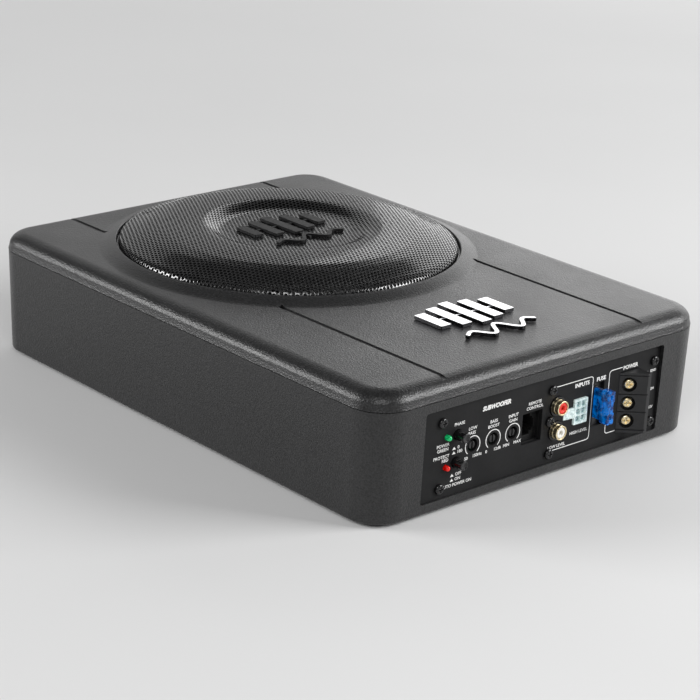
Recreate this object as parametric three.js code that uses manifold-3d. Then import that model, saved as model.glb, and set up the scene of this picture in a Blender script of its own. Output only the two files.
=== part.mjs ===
// Powered under-seat car subwoofer: a slim moulded enclosure with a woofer under a round
// steel grille in the lid, an amplifier behind the front panel, and four rubber feet.
// Millimetres, +Z up. The connector panel faces -Y and the long side runs along Y.
// Inside the caseFrame group, x = y = 0 is the middle of the case and z = 0 its underside.

import * as THREE from "three";
import { mergeVertices } from "three/addons/utils/BufferGeometryUtils.js";
import Module from "manifold-3d";

const wasm = await Module();
wasm.setup();

// ---------------------------------------------------------------- driving dimensions
const GAP = 0.3; // clearance kept between neighbouring pieces

const CASE = {
  halfWidth: 125,
  halfLength: 172.5,
  cornerRadius: 21,
  seamZ: 62.4,
  lidTopZ: 72.7,
  creaseZ: 67.3, // where the lid's upright skirt meets its rounded shoulder
  shoulderWidth: 10,
  wall: 3,
  draft: 1.6,
  footHeight: 2,
};

const WOOFER_Y = 46.5; // the woofer, its ring and the grille share this centre

// Sides of a full turn, for wide, middle-sized and narrow round pieces.
const SIDES = { wide: 40, middle: 24, narrow: 14, bolt: 8 };

const RING = { footRadius: 112, lipRadius: 103, innerRadius: 102.3, lipZ: 76.7, holeRadius: 92 };

const PANEL = {
  faceY: -169.5,
  thickness: 2,
  windowHalfWidth: 90.8,
  windowLowZ: 5.9,
  windowHighZ: 57.1,
  lap: 2.5, // how far the plate reaches past the window behind the wall
};
const PANEL_BACK_Y = PANEL.faceY + PANEL.thickness;

// The terminal block reaches past the case front, so the case sits a little behind the
// middle of the whole object.
const TERMINAL_TIP_Y = -179.8;
const CASE_CENTRE_Y = (-TERMINAL_TIP_Y - CASE.halfLength) / 2;

// ---------------------------------------------------------------- materials
const finish = (color, roughness, metalness = 0) =>
  new THREE.MeshStandardMaterial({ color, roughness, metalness });

const mouldedPlastic = finish(0x2b2b2c, 0.62);
const blackPlastic = finish(0x131313, 0.5);
const blackSteel = finish(0x1c1c1d, 0.4, 0.7);
const panelPaint = finish(0x232324, 0.5, 0.3);
const silver = finish(0xd8d9da, 0.3, 0.9);
const gold = finish(0xd9b25a, 0.28, 1);
const rubber = finish(0x111111, 0.85);
const foam = finish(0x1a1a1a, 0.95);
const redPlastic = finish(0xc6281c, 0.4);
const whitePlastic = finish(0xe8e6de, 0.45);
const bluePlastic = finish(0x1748a8, 0.2);
const greenLens = finish(0x18a24a, 0.15);
const redLens = finish(0xd0180f, 0.15);
const paperCone = finish(0x1e1e1f, 0.8);
const spiderCloth = finish(0xb08a3c, 0.9);
const castBasket = finish(0x2a2b2d, 0.55, 0.6);
const zincSteel = finish(0xb9bcc0, 0.35, 0.9);
const ferrite = finish(0x37373a, 0.75, 0.2);
const copper = finish(0xb2622f, 0.35, 0.9);
const circuitBoard = finish(0x17603a, 0.5);
const capacitorSleeve = finish(0x1b2430, 0.35);
const aluminium = finish(0xa9acb0, 0.4, 0.9);

// ---------------------------------------------------------------- solid helpers

// Turns a closed geometry into a manifold solid.
function solid(geometry) {
  const bare = geometry.clone();
  bare.deleteAttribute("normal");
  bare.deleteAttribute("uv");
  const merged = mergeVertices(bare, 1e-4);
  return new wasm.Manifold(
    new wasm.Mesh({
      numProp: 3,
      vertProperties: new Float32Array(merged.attributes.position.array),
      triVerts: new Uint32Array(merged.index.array),
    }),
  );
}

// Turns a manifold solid back into a geometry.
function geometryOf(manifold) {
  const mesh = manifold.getMesh();
  const geometry = new THREE.BufferGeometry();
  geometry.setAttribute("position", new THREE.BufferAttribute(new Float32Array(mesh.vertProperties), 3));
  geometry.setIndex(new THREE.BufferAttribute(new Uint32Array(mesh.triVerts), 1));
  geometry.computeVertexNormals();
  return geometry;
}

const joined = (...solids) => solids.reduce((sum, next) => sum.add(next));
const cut = (base, ...tools) => tools.reduce((left, tool) => left.subtract(tool), base);

function box(x, y, z) {
  const geometry = new THREE.BoxGeometry(x[1] - x[0], y[1] - y[0], z[1] - z[0]);
  geometry.translate((x[0] + x[1]) / 2, (y[0] + y[1]) / 2, (z[0] + z[1]) / 2);
  return solid(geometry);
}

// A round bar along Z from z[0] to z[1].
function post(x, y, z, radius, segments = SIDES.narrow, topRadius = radius) {
  const geometry = new THREE.CylinderGeometry(topRadius, radius, z[1] - z[0], segments);
  geometry.rotateX(Math.PI / 2);
  geometry.translate(x, y, (z[0] + z[1]) / 2);
  return solid(geometry);
}

// A round bar along Y from y[0] to y[1].
function bar(x, z, y, radius, segments = SIDES.narrow, backRadius = radius) {
  const geometry = new THREE.CylinderGeometry(backRadius, radius, y[1] - y[0], segments);
  geometry.translate(x, (y[0] + y[1]) / 2, z);
  return solid(geometry);
}

// A body of revolution about a vertical axis at the woofer's centre; profile is [r, z] points.
function turned(profile, segments) {
  const points = profile.map(([r, z]) => new THREE.Vector2(r, z));
  const geometry = new THREE.LatheGeometry(points, segments);
  geometry.rotateX(Math.PI / 2);
  geometry.translate(0, WOOFER_Y, 0);
  const body = solid(geometry);
  return body.volume() > 0 ? body : solid(flipped(geometry));
}

function flipped(geometry) {
  const copy = geometry.clone();
  const index = copy.index.array;
  for (let i = 0; i < index.length; i += 3) {
    const first = index[i];
    index[i] = index[i + 1];
    index[i + 1] = first;
  }
  return copy;
}

// A closed ring profile moved down by a wall thickness, for thin pressed or moulded skins.
const skinProfile = (outline, thickness) => [
  ...outline,
  ...outline.map(([r, z]) => [r, z - thickness]).reverse(),
];

// One rounded rectangle of points at height z, inset from the case outline.
function caseOutline(inset, z, cornerSteps) {
  const radius = Math.max(CASE.cornerRadius - inset, 0.5);
  const reachX = CASE.halfWidth - inset - radius;
  const reachY = CASE.halfLength - inset - radius;
  const corners = [[1, 1], [-1, 1], [-1, -1], [1, -1]];
  const points = [];
  corners.forEach(([sx, sy], corner) => {
    for (let step = 0; step <= cornerSteps; step += 1) {
      const angle = ((corner + step / cornerSteps) * Math.PI) / 2;
      points.push([sx * reachX + radius * Math.cos(angle), sy * reachY + radius * Math.sin(angle), z]);
    }
  });
  return points;
}

// A closed body through case outlines, each given as [inset, z], from the lowest to the highest.
function caseLoft(levels, cornerSteps = 5) {
  const rings = levels.map(([inset, z]) => caseOutline(inset, z, cornerSteps));
  const count = rings[0].length;
  const positions = rings.flat(2);
  const lowCentre = rings.length * count;
  positions.push(0, 0, levels[0][1], 0, 0, levels[levels.length - 1][1]);
  const index = [];
  for (let i = 0; i < count; i += 1) {
    const next = (i + 1) % count;
    index.push(lowCentre, next, i);
    const top = (rings.length - 1) * count;
    index.push(lowCentre + 1, top + i, top + next);
    for (let ring = 0; ring + 1 < rings.length; ring += 1) {
      const a = ring * count;
      const b = a + count;
      index.push(a + i, a + next, b + next, a + i, b + next, b + i);
    }
  }
  const geometry = new THREE.BufferGeometry();
  geometry.setAttribute("position", new THREE.BufferAttribute(new Float32Array(positions), 3));
  geometry.setIndex(index);
  return solid(geometry);
}

// A flat outline in X and Y, raised from z[0] to z[1].
function plate(shape, z, curveSegments = 12) {
  const depth = z[1] - z[0];
  const geometry = new THREE.ExtrudeGeometry(shape, { depth, bevelEnabled: false, curveSegments });
  geometry.translate(0, 0, z[0]);
  return solid(geometry);
}

function polygon(points) {
  return new THREE.Shape(points.map(([x, y]) => new THREE.Vector2(x, y)));
}

// ---------------------------------------------------------------- the assembly
const group = new THREE.Group();
const caseFrame = new THREE.Group();
caseFrame.position.set(0, CASE_CENTRE_Y, CASE.footHeight);
group.add(caseFrame);

function addPiece(name, manifold, material) {
  const mesh = new THREE.Mesh(geometryOf(manifold), material);
  mesh.name = name;
  caseFrame.add(mesh);
}

// ---------------------------------------------------------------- case
const CORNER_SCREWS = {
  front_left: [-108, -146],
  front_right: [108, -146],
  back_left: [-108, 155],
  back_right: [108, 155],
};
const FEET = {
  front_left: [-92, -132],
  front_right: [92, -132],
  back_left: [-92, 132],
  back_right: [92, 132],
};
const FOOT_RADIUS = 9;
const FOOT_POCKET = 1;
const SCREW_HEAD = { radius: 3.5, low: 0.3, high: 2.1 };
const SCREW_SHANK_RADIUS = 1.6;
const SCREW_TIP_Z = 18;
const SKIRT_INSET = 0.5; // the lid's edge stands this far in from the tub's rim
const LID_POST = { radius: 5, footZ: 6.3 };

// Four panel screws go into posts that stand on the case floor; [x low, x high] of each post.
const PANEL_POSTS = [[-81.3, -74.6], [82, 90.2]];
const PANEL_POST_DEPTH = 8;
const PANEL_SCREWS = {
  top_left: [-76.8, 48.5],
  bottom_left: [-76.8, 11.6],
  top_centre: [4.5, 48.3],
  middle_centre: [4, 30.3],
  bottom_centre: [4.7, 11.4],
  top_right: [86.1, 47.9],
  bottom_right: [86.5, 11.6],
};
const PANEL_SCREW = { headRadius: 3, headRise: 1.6, shankRadius: 1.5, length: 8 };

const panelScrewHole = ([x, z], depth) =>
  bar(x, z, [PANEL.faceY - 1, PANEL_BACK_Y + depth], PANEL_SCREW.shankRadius + GAP);

function lowerCase() {
  const { wall, draft, seamZ } = CASE;
  const rim = seamZ - GAP / 2;
  const outside = caseLoft([[draft + 1.2, 0], [draft, 1.2], [0, rim]]);
  const hollow = caseLoft([[draft + wall, wall], [wall, rim + 1]]);
  const gasketStep = caseLoft([[1.6, 60], [1.6, rim + 1]]);
  const windowOpening = box(
    [-PANEL.windowHalfWidth, PANEL.windowHalfWidth],
    [-CASE.halfLength - 1, PANEL.faceY + 5],
    [PANEL.windowLowZ, PANEL.windowHighZ],
  );
  const plateHalfWidth = PANEL.windowHalfWidth + PANEL.lap + GAP;
  const plateSeat = box(
    [-plateHalfWidth, plateHalfWidth],
    [PANEL.faceY - GAP, PANEL.faceY + 6],
    [wall, rim - 2.4],
  );
  let body = cut(outside, hollow, gasketStep, windowOpening, plateSeat);
  for (const x of PANEL_POSTS) {
    const y = [PANEL_BACK_Y + GAP, PANEL_BACK_Y + GAP + PANEL_POST_DEPTH];
    body = joined(body, box(x, y, [wall - 1, 55]));
  }
  for (const [x, y] of Object.values(CORNER_SCREWS)) {
    body = joined(body, post(x, y, [wall - 1, LID_POST.footZ - GAP], 7));
    body = cut(
      body,
      post(x, y, [-1, SCREW_HEAD.high + GAP], SCREW_HEAD.radius + 0.4),
      post(x, y, [0, 10], SCREW_SHANK_RADIUS + 0.4),
    );
  }
  for (const [x, y] of Object.values(FEET)) {
    body = cut(body, post(x, y, [-1, FOOT_POCKET], FOOT_RADIUS + GAP, SIDES.middle));
  }
  for (const name of ["top_left", "bottom_left", "top_right", "bottom_right"]) {
    body = cut(body, panelScrewHole(PANEL_SCREWS[name], 9));
  }
  return body;
}

// The lid's shoulder is part of an ellipse that starts at a crease above the skirt.
function lidShoulder() {
  const { lidTopZ, creaseZ, shoulderWidth } = CASE;
  const creaseAngle = 0.25;
  const halfWidth = shoulderWidth / Math.cos(creaseAngle);
  const halfHeight = (lidTopZ - creaseZ) / (1 - Math.sin(creaseAngle));
  const steps = 5;
  const levels = [];
  for (let step = 0; step <= steps; step += 1) {
    const angle = creaseAngle + (step / steps) * (Math.PI / 2 - creaseAngle);
    levels.push([
      SKIRT_INSET + halfWidth * (Math.cos(creaseAngle) - Math.cos(angle)),
      lidTopZ - halfHeight * (1 - Math.sin(angle)),
    ]);
  }
  return levels;
}

function topCover() {
  const { wall, seamZ, lidTopZ, creaseZ } = CASE;
  const edge = seamZ + GAP / 2;
  const outside = caseLoft([[SKIRT_INSET, edge], ...lidShoulder()]);
  const hollow = caseLoft([[wall + 0.2, edge - 1], [wall + 0.2, creaseZ - 1], [wall + 7, lidTopZ - wall]]);
  const ring = turned(
    [
      [0, lidTopZ - 2],
      [RING.footRadius + 2, lidTopZ - 2],
      [RING.footRadius + 2, lidTopZ],
      [RING.footRadius, lidTopZ + 0.3],
      [RING.footRadius - 2.5, lidTopZ + 1.2],
      [RING.lipRadius + 1, RING.lipZ - 0.3],
      [RING.lipRadius, RING.lipZ],
      [RING.innerRadius, RING.lipZ],
      [RING.innerRadius, lidTopZ],
      [0, lidTopZ],
    ],
    SIDES.wide,
  );
  const mouth = post(0, WOOFER_Y, [lidTopZ - 10, lidTopZ + 10], RING.holeRadius, SIDES.wide);
  let cover = cut(joined(outside, ring), hollow, mouth);
  const groove = { halfWidth: 1.1, depth: 1.1, frontY: -168, backY: 167, x: 74.5 };
  const ringReach = Math.sqrt((RING.footRadius - 1) ** 2 - groove.x ** 2);
  for (const x of [-groove.x, groove.x]) {
    const across = [x - groove.halfWidth, x + groove.halfWidth];
    const floor = [lidTopZ - groove.depth, lidTopZ + 1];
    cover = cut(
      cover,
      box(across, [groove.frontY, WOOFER_Y - ringReach], floor),
      box(across, [WOOFER_Y + ringReach, groove.backY], floor),
    );
  }
  for (const [x, y] of Object.values(CORNER_SCREWS)) {
    cover = joined(cover, post(x, y, [LID_POST.footZ, lidTopZ - 2], LID_POST.radius));
    cover = cut(cover, post(x, y, [0, SCREW_TIP_Z + 2], SCREW_SHANK_RADIUS + GAP));
  }
  for (const [x, y] of wooferScrewPlaces()) {
    cover = cut(cover, post(x, y, [lidTopZ - 8, lidTopZ + 1], WOOFER_SCREW.shankRadius + GAP));
  }
  return cover;
}

function caseGasket() {
  const z = [60 + GAP, CASE.seamZ + GAP / 2 - GAP];
  return cut(caseLoft([[1.9, z[0]], [1.9, z[1]]]), caseLoft([[2.9, z[0] - 1], [2.9, z[1] + 1]]));
}

function addCase() {
  addPiece("lower_case", lowerCase(), mouldedPlastic);
  addPiece("top_cover", topCover(), mouldedPlastic);
  addPiece("case_gasket", caseGasket(), foam);
  for (const [corner, [x, y]] of Object.entries(CORNER_SCREWS)) {
    const head = post(x, y, [SCREW_HEAD.low, SCREW_HEAD.high], SCREW_HEAD.radius);
    const shank = post(x, y, [SCREW_HEAD.high - 0.5, SCREW_TIP_Z], SCREW_SHANK_RADIUS, SIDES.bolt);
    const drive = box([x - 0.5, x + 0.5], [y - 2.2, y + 2.2], [0, 1.1]);
    const crossDrive = box([x - 2.2, x + 2.2], [y - 0.5, y + 0.5], [0, 1.1]);
    addPiece(`case_screw_${corner}`, cut(joined(head, shank), drive, crossDrive), blackSteel);
  }
  for (const [corner, [x, y]] of Object.entries(FEET)) {
    const treadTop = -CASE.footHeight + 0.8;
    const tread = post(x, y, [-CASE.footHeight, treadTop], FOOT_RADIUS - 0.8, SIDES.middle, FOOT_RADIUS);
    const puck = post(x, y, [treadTop, FOOT_POCKET - GAP], FOOT_RADIUS, SIDES.middle);
    addPiece(`rubber_foot_${corner}`, joined(tread, puck), rubber);
  }
}

// ---------------------------------------------------------------- grille and badge
const GRILLE = { rimRadius: 102, crownZ: 87.3, dishRadius: 47, dishDepth: 4.4, thickness: 1 };

function grille() {
  const { lidTopZ } = CASE;
  const { crownZ, dishRadius, dishDepth } = GRILLE;
  const outline = [
    [0, crownZ - dishDepth],
    [dishRadius - 7, crownZ - dishDepth],
    [dishRadius, crownZ - 1.6],
    [dishRadius + 7, crownZ],
    [68, crownZ - 0.3],
    [77, crownZ - 1.1],
    [84, crownZ - 2.9],
    [90, crownZ - 5.1],
    [95, crownZ - 7.4],
    [98.8, crownZ - 10],
    [GRILLE.rimRadius - 0.7, lidTopZ + 1.5],
    [GRILLE.rimRadius, lidTopZ + GAP],
  ];
  const inside = outline.map(([r, z]) => [Math.max(r - 1, 0), z - GRILLE.thickness * 0.9]);
  inside[0] = [0, outline[0][1] - GRILLE.thickness];
  inside[inside.length - 1] = [GRILLE.rimRadius - 1.4, lidTopZ + GAP];
  return turned([...outline, ...inside.reverse()], SIDES.wide);
}

// A generic equaliser badge: bars of different lengths joined by a thin line.
function equaliser({ centreY, lowZ, height, lengths, pitch, barWidth }) {
  const reach = ((lengths.length - 1) / 2) * pitch;
  const lineHalfWidth = barWidth / 12;
  const lineAcross = [centreY - lineHalfWidth, centreY + lineHalfWidth];
  let badge = box([-reach, reach], lineAcross, [lowZ, lowZ + height * 0.6]);
  lengths.forEach((length, place) => {
    const x = place * pitch - reach;
    const across = [x - barWidth / 2, x + barWidth / 2];
    badge = joined(badge, box(across, [centreY - length / 2, centreY + length / 2], [lowZ, lowZ + height]));
  });
  return badge;
}

// A raised strip that follows a sine wave and fades towards its ends.
function waveStrip({ centreY, lowZ, height, halfSpan, swing, halfWidth, turns }) {
  const steps = 40;
  const centreLine = (along) => {
    const swell = Math.sqrt(Math.sin(Math.PI * Math.min(Math.max(along, 0), 1)));
    const y = centreY + swing * swell * Math.sin(2 * Math.PI * turns * along);
    return new THREE.Vector2((2 * along - 1) * halfSpan, y);
  };
  const upper = [];
  const lower = [];
  for (let step = 0; step <= steps; step += 1) {
    const point = centreLine(step / steps);
    const ahead = centreLine((step + 0.5) / steps).sub(centreLine((step - 0.5) / steps)).normalize();
    const side = new THREE.Vector2(-ahead.y, ahead.x).multiplyScalar(halfWidth);
    upper.push([point.x + side.x, point.y + side.y]);
    lower.push([point.x - side.x, point.y - side.y]);
  }
  return plate(polygon([...lower, ...upper.reverse()]), [lowZ, lowZ + height]);
}

const EMBLEM = { lowZ: CASE.lidTopZ + GAP, height: 2 };

function emblemBars() {
  return equaliser({ ...EMBLEM, centreY: -104, lengths: [22, 30, 36, 30, 22], pitch: 12, barWidth: 7.4 });
}

function emblemWave() {
  return waveStrip({ ...EMBLEM, centreY: -133.5, halfSpan: 26, swing: 6, halfWidth: 1.3, turns: 2.5 });
}

// The black badge in the grille's dish: the same bars and wave, joined by a short stem.
function grilleBadge() {
  const level = { lowZ: GRILLE.crownZ - GRILLE.dishDepth + GAP, height: 1.6 };
  const barsY = WOOFER_Y + 7.5;
  const waveY = WOOFER_Y - 19.5;
  return joined(
    equaliser({ ...level, centreY: barsY, lengths: [18, 27, 34, 27, 18], pitch: 12, barWidth: 6.4 }),
    waveStrip({ ...level, centreY: waveY, halfSpan: 25, swing: 4.6, halfWidth: 1.2, turns: 2.5 }),
    box([-0.7, 0.7], [waveY, barsY - 16], [level.lowZ, level.lowZ + level.height * 0.6]),
  );
}

function addGrilleAndBadge() {
  addPiece("grille", grille(), blackSteel);
  addPiece("grille_badge", grilleBadge(), blackPlastic);
  addPiece("emblem_bars", emblemBars(), silver);
  addPiece("emblem_wave", emblemWave(), silver);
}

// ---------------------------------------------------------------- woofer
const FLANGE = { innerRadius: 91, outerRadius: 98.2, low: CASE.lidTopZ + GAP, high: CASE.lidTopZ + 2.3 };
const CONE = { rimRadius: 77, rimZ: 73.4, neckRadius: 26.2, neckZ: 53, thickness: 1.2 };
const COIL = { bore: 24.6, former: 25.4, winding: 26, low: 33, high: 55.5 };
const MOTOR = {
  topPlateZ: [37, 43],
  magnetZ: [21.3, 36.7],
  backPlateZ: [13, 21],
  gapRadius: 26.8,
  poleRadius: 23.8,
};
const SPIDER = { innerRadius: 26.4, outerRadius: 56, z: 50, lift: 1.1 };
const WOOFER_SCREW = { count: 4, circleRadius: 95, shankRadius: 1.6, headRadius: 2.8, headRise: 1.2 };

function wooferScrewPlaces() {
  const places = [];
  const { count, circleRadius } = WOOFER_SCREW;
  for (let i = 0; i < count; i += 1) {
    const angle = ((i + 0.5) * 2 * Math.PI) / count;
    places.push([circleRadius * Math.cos(angle), WOOFER_Y + circleRadius * Math.sin(angle)]);
  }
  return places;
}

function wooferBasket() {
  const seatZ = MOTOR.topPlateZ[1] + GAP;
  const shell = turned(
    [
      [30, seatZ],
      [56, seatZ],
      [60, 46],
      [88, 68],
      [91.3, 71.5],
      [91.3, FLANGE.low],
      [FLANGE.outerRadius, FLANGE.low],
      [FLANGE.outerRadius, FLANGE.high],
      [FLANGE.innerRadius, FLANGE.high],
      [FLANGE.innerRadius, 73.1],
      [87.6, 73.1],
      [87.6, 71],
      [85.5, 68.5],
      [58, 48.2],
      [52, 48.2],
      [52, 46],
      [30, 46],
      [30, seatZ],
    ],
    SIDES.middle,
  );
  let basket = shell;
  const windows = 6;
  for (let i = 0; i < windows; i += 1) {
    const geometry = new THREE.BoxGeometry(30, 26, 17);
    geometry.translate(76, 0, 58.5);
    geometry.rotateZ((i * 2 * Math.PI) / windows);
    geometry.translate(0, WOOFER_Y, 0);
    basket = cut(basket, solid(geometry));
  }
  for (const [x, y] of wooferScrewPlaces()) {
    basket = cut(basket, post(x, y, [FLANGE.low - 1, FLANGE.high + 1], WOOFER_SCREW.shankRadius + GAP));
  }
  return basket;
}

function halfRoll(innerRadius, outerRadius, baseZ, height, thickness, steps) {
  const middle = (innerRadius + outerRadius) / 2;
  const reach = (outerRadius - innerRadius) / 2;
  const top = [];
  const bottom = [];
  for (let step = 0; step <= steps; step += 1) {
    const angle = Math.PI * (1 - step / steps);
    top.push([middle + reach * Math.cos(angle), baseZ + thickness + height * Math.sin(angle)]);
    bottom.push([
      middle + (reach - thickness) * Math.cos(angle),
      baseZ + (height - thickness * 0.2) * Math.sin(angle),
    ]);
  }
  return { top, bottom };
}

function surround() {
  const baseZ = CONE.rimZ + GAP;
  const roll = halfRoll(77.2, 87.6, baseZ, 5.4, 0.9, 4);
  const profile = [
    [74.5, baseZ],
    [74.5, baseZ + 0.9],
    ...roll.top,
    [90.6, baseZ + 0.9],
    [90.6, baseZ],
    ...roll.bottom.reverse(),
    [74.5, baseZ],
  ];
  return turned(profile, SIDES.middle);
}

function cone() {
  const { rimRadius, rimZ, neckRadius, neckZ, thickness } = CONE;
  return turned(
    [
      [neckRadius, neckZ],
      [72.5, rimZ - thickness - 0.6],
      [74, rimZ - thickness],
      [rimRadius, rimZ - thickness],
      [rimRadius, rimZ],
      [73.5, rimZ],
      [71.5, rimZ - 0.6],
      [neckRadius, neckZ + thickness],
      [neckRadius, neckZ],
    ],
    SIDES.middle,
  );
}

function dustCap() {
  const radius = 31;
  const footZ = 58.2;
  const rise = 7;
  const steps = 4;
  const outline = [];
  for (let step = 0; step <= steps; step += 1) {
    const angle = ((step / steps) * Math.PI) / 2;
    outline.push([radius * Math.sin(angle), footZ + rise * Math.cos(angle)]);
  }
  const inside = outline.map(([r, z]) => [r * 0.97, z - 1]);
  return turned([...outline, ...inside.reverse()], SIDES.middle);
}

function spider() {
  const folds = 7;
  const outline = [];
  for (let fold = 0; fold <= folds; fold += 1) {
    const radius = SPIDER.innerRadius + ((SPIDER.outerRadius - SPIDER.innerRadius) * fold) / folds;
    const isEdge = fold === 0 || fold === folds;
    outline.push([radius, SPIDER.z + (isEdge ? 0 : SPIDER.lift * (-1) ** fold)]);
  }
  const profile = skinProfile(outline, 0.7);
  return turned([...profile, profile[0]], SIDES.middle);
}

function voiceCoil() {
  return turned(
    [
      [COIL.bore, COIL.low],
      [COIL.former, COIL.low],
      [COIL.former, 35.5],
      [COIL.winding, 35.5],
      [COIL.winding, 44.5],
      [COIL.former, 44.5],
      [COIL.former, COIL.high],
      [COIL.bore, COIL.high],
      [COIL.bore, COIL.low],
    ],
    SIDES.middle,
  );
}

function ringPlate(innerRadius, outerRadius, z) {
  return cut(
    post(0, WOOFER_Y, z, outerRadius, SIDES.middle),
    post(0, WOOFER_Y, [z[0] - 1, z[1] + 1], innerRadius, SIDES.middle),
  );
}

function backPlate() {
  const poleZ = [MOTOR.backPlateZ[1] - 1, MOTOR.topPlateZ[1] + 1];
  const pole = post(0, WOOFER_Y, poleZ, MOTOR.poleRadius, SIDES.middle);
  const vent = post(0, WOOFER_Y, [0, 60], 8, SIDES.narrow);
  return cut(joined(post(0, WOOFER_Y, MOTOR.backPlateZ, 46, SIDES.middle), pole), vent);
}

function addWoofer() {
  addPiece("woofer_basket", wooferBasket(), castBasket);
  addPiece("surround", surround(), rubber);
  addPiece("cone", cone(), paperCone);
  addPiece("dust_cap", dustCap(), paperCone);
  addPiece("spider", spider(), spiderCloth);
  addPiece("voice_coil", voiceCoil(), copper);
  addPiece("motor_top_plate", ringPlate(MOTOR.gapRadius, 47, MOTOR.topPlateZ), zincSteel);
  addPiece("magnet", ringPlate(30, 50, MOTOR.magnetZ), ferrite);
  addPiece("motor_back_plate", backPlate(), zincSteel);
  wooferScrewPlaces().forEach(([x, y], place) => {
    const { headRadius, headRise, shankRadius } = WOOFER_SCREW;
    const headLow = FLANGE.high + GAP;
    const head = post(x, y, [headLow, headLow + headRise], headRadius, SIDES.narrow, headRadius - 0.8);
    const shank = post(x, y, [CASE.lidTopZ - 6, headLow + 0.5], shankRadius, SIDES.bolt);
    addPiece(`woofer_screw_${place + 1}`, joined(head, shank), blackSteel);
  });
}

// ---------------------------------------------------------------- front panel
const LED = { radius: 1.5, tipY: -172.6, backY: -164, green: [-72.7, 39.5], red: [-72.7, 22.6] };
const BUTTON = { radius: 2.7, tipY: -176.4, backY: -166, phase: [-65.2, 39.3], autoOn: [-65.6, 24] };
const BUTTON_TRAVEL = 2;
const POT = { z: 30.5, holeRadius: 3.6, shaftRadius: 2.3, frontY: -169, backY: -164.1 };
const POT_X = { low_pass: -53.6, bass_boost: -38.6, input_gain: -24 };
const JACK = { x: [-17, -2], z: [21.3, 39.2], faceY: -165, backY: -152 };
const RCA = { x: 9.3, collarRadius: 5.5, collarY: -170.2, z: { red: 38.1, white: 23.8 } };
const HEADER = { x: [22.5, 32.8], z: [24, 38.5], frontY: -170.5, latchX: 15, latchZ: [28.2, 34.2] };
const FUSE = { x: [38.8, 44.2], z: [23, 42.2], frontY: TERMINAL_TIP_Y, shoulderY: -167.6 };
const FUSE_SLOT = { x: [38.3, 46.1], z: [19, 43] };
const TERMINAL = {
  x: [58.5, 73],
  z: [11, 46.4],
  tipX: 70.5,
  backY: -152,
  screwZ: { remote: 28.6, ground: 39.6, power: 18.2 },
};

function panelPlate() {
  const halfWidth = PANEL.windowHalfWidth + PANEL.lap;
  const z = [CASE.wall + 0.4, PANEL.windowHighZ + PANEL.lap];
  const through = [PANEL.faceY - 1, PANEL_BACK_Y + 1];
  const grown = ([low, high]) => [low - GAP, high + GAP];
  let panel = box([-halfWidth, halfWidth], [PANEL.faceY, PANEL_BACK_Y], z);
  const roundHoles = [
    [LED.green, LED.radius + GAP],
    [LED.red, LED.radius + GAP],
    [BUTTON.phase, BUTTON.radius + 0.4],
    [BUTTON.autoOn, BUTTON.radius + 0.4],
    ...Object.values(POT_X).map((x) => [[x, POT.z], POT.holeRadius]),
    ...Object.values(RCA.z).map((height) => [[RCA.x, height], RCA.collarRadius + GAP]),
    ...Object.values(PANEL_SCREWS).map((place) => [place, PANEL_SCREW.shankRadius + GAP]),
  ];
  for (const [[x, height], radius] of roundHoles) {
    panel = cut(panel, bar(x, height, through, radius));
  }
  return cut(
    panel,
    box(JACK.x, through, JACK.z),
    box(grown(HEADER.x), through, grown(HEADER.z)),
    box([HEADER.latchX - GAP, HEADER.x[0]], through, grown(HEADER.latchZ)),
    box(FUSE_SLOT.x, through, FUSE_SLOT.z),
    box(grown(TERMINAL.x), through, grown(TERMINAL.z)),
  );
}

function panelScrew([x, z]) {
  const headBack = PANEL.faceY - GAP;
  const headFront = headBack - PANEL_SCREW.headRise;
  const { headRadius, shankRadius, length } = PANEL_SCREW;
  const head = bar(x, z, [headFront, headBack], headRadius - 0.7, SIDES.narrow, headRadius);
  const shank = bar(x, z, [headFront + 0.8, headBack + length], shankRadius, SIDES.bolt);
  const recess = joined(
    box([x - 0.45, x + 0.45], [headFront - 1, headFront + 0.8], [z - 1.5, z + 1.5]),
    box([x - 1.5, x + 1.5], [headFront - 1, headFront + 0.8], [z - 0.45, z + 0.45]),
  );
  return cut(joined(head, shank), recess);
}

function indicatorLamp([x, z]) {
  const dome = new THREE.SphereGeometry(LED.radius, SIDES.narrow, 8);
  dome.translate(x, LED.tipY + LED.radius, z);
  return joined(solid(dome), bar(x, z, [LED.tipY + LED.radius, LED.backY], LED.radius));
}

function pushButton([x, z]) {
  const { radius, tipY, backY } = BUTTON;
  return joined(
    bar(x, z, [tipY, tipY + 0.7], radius - 0.6, SIDES.narrow, radius),
    bar(x, z, [tipY + 0.7, backY], radius),
  );
}

function potShaft(x) {
  const { z, shaftRadius, frontY, backY } = POT;
  const slot = box([x - 0.5, x + 0.5], [frontY - 1, frontY + 1.2], [z - 3, z + 3]);
  return cut(bar(x, z, [frontY, backY], shaftRadius), slot);
}

function remoteJack() {
  const side = 2.2;
  const x = [JACK.x[0] - side, JACK.x[1] + side];
  const z = [JACK.z[0] - side, JACK.z[1] + side];
  const noseX = [x[0] + side + GAP, x[1] - side - GAP];
  const noseZ = [JACK.z[0] + GAP, JACK.z[1] - GAP];
  const mouthX = [JACK.x[0] + 1.2, JACK.x[1] - 1.2];
  const mouthZ = [JACK.z[0] + 1.2, JACK.z[1] - 1.2];
  const shell = joined(
    box(x, [PANEL_BACK_Y + GAP, JACK.backY], z),
    box(noseX, [PANEL.faceY + 0.6, JACK.backY], noseZ),
  );
  const middle = (JACK.x[0] + JACK.x[1]) / 2;
  return cut(
    shell,
    box(mouthX, [PANEL.faceY - 1, JACK.faceY], mouthZ),
    box([middle - 4, middle + 4], [PANEL.faceY - 1, JACK.backY - 2], [24.4, 36.4]),
    box([middle + 3.9, middle + 5.2], [PANEL.faceY - 1, JACK.backY - 4], [27.2, 33.6]),
  );
}

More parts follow.
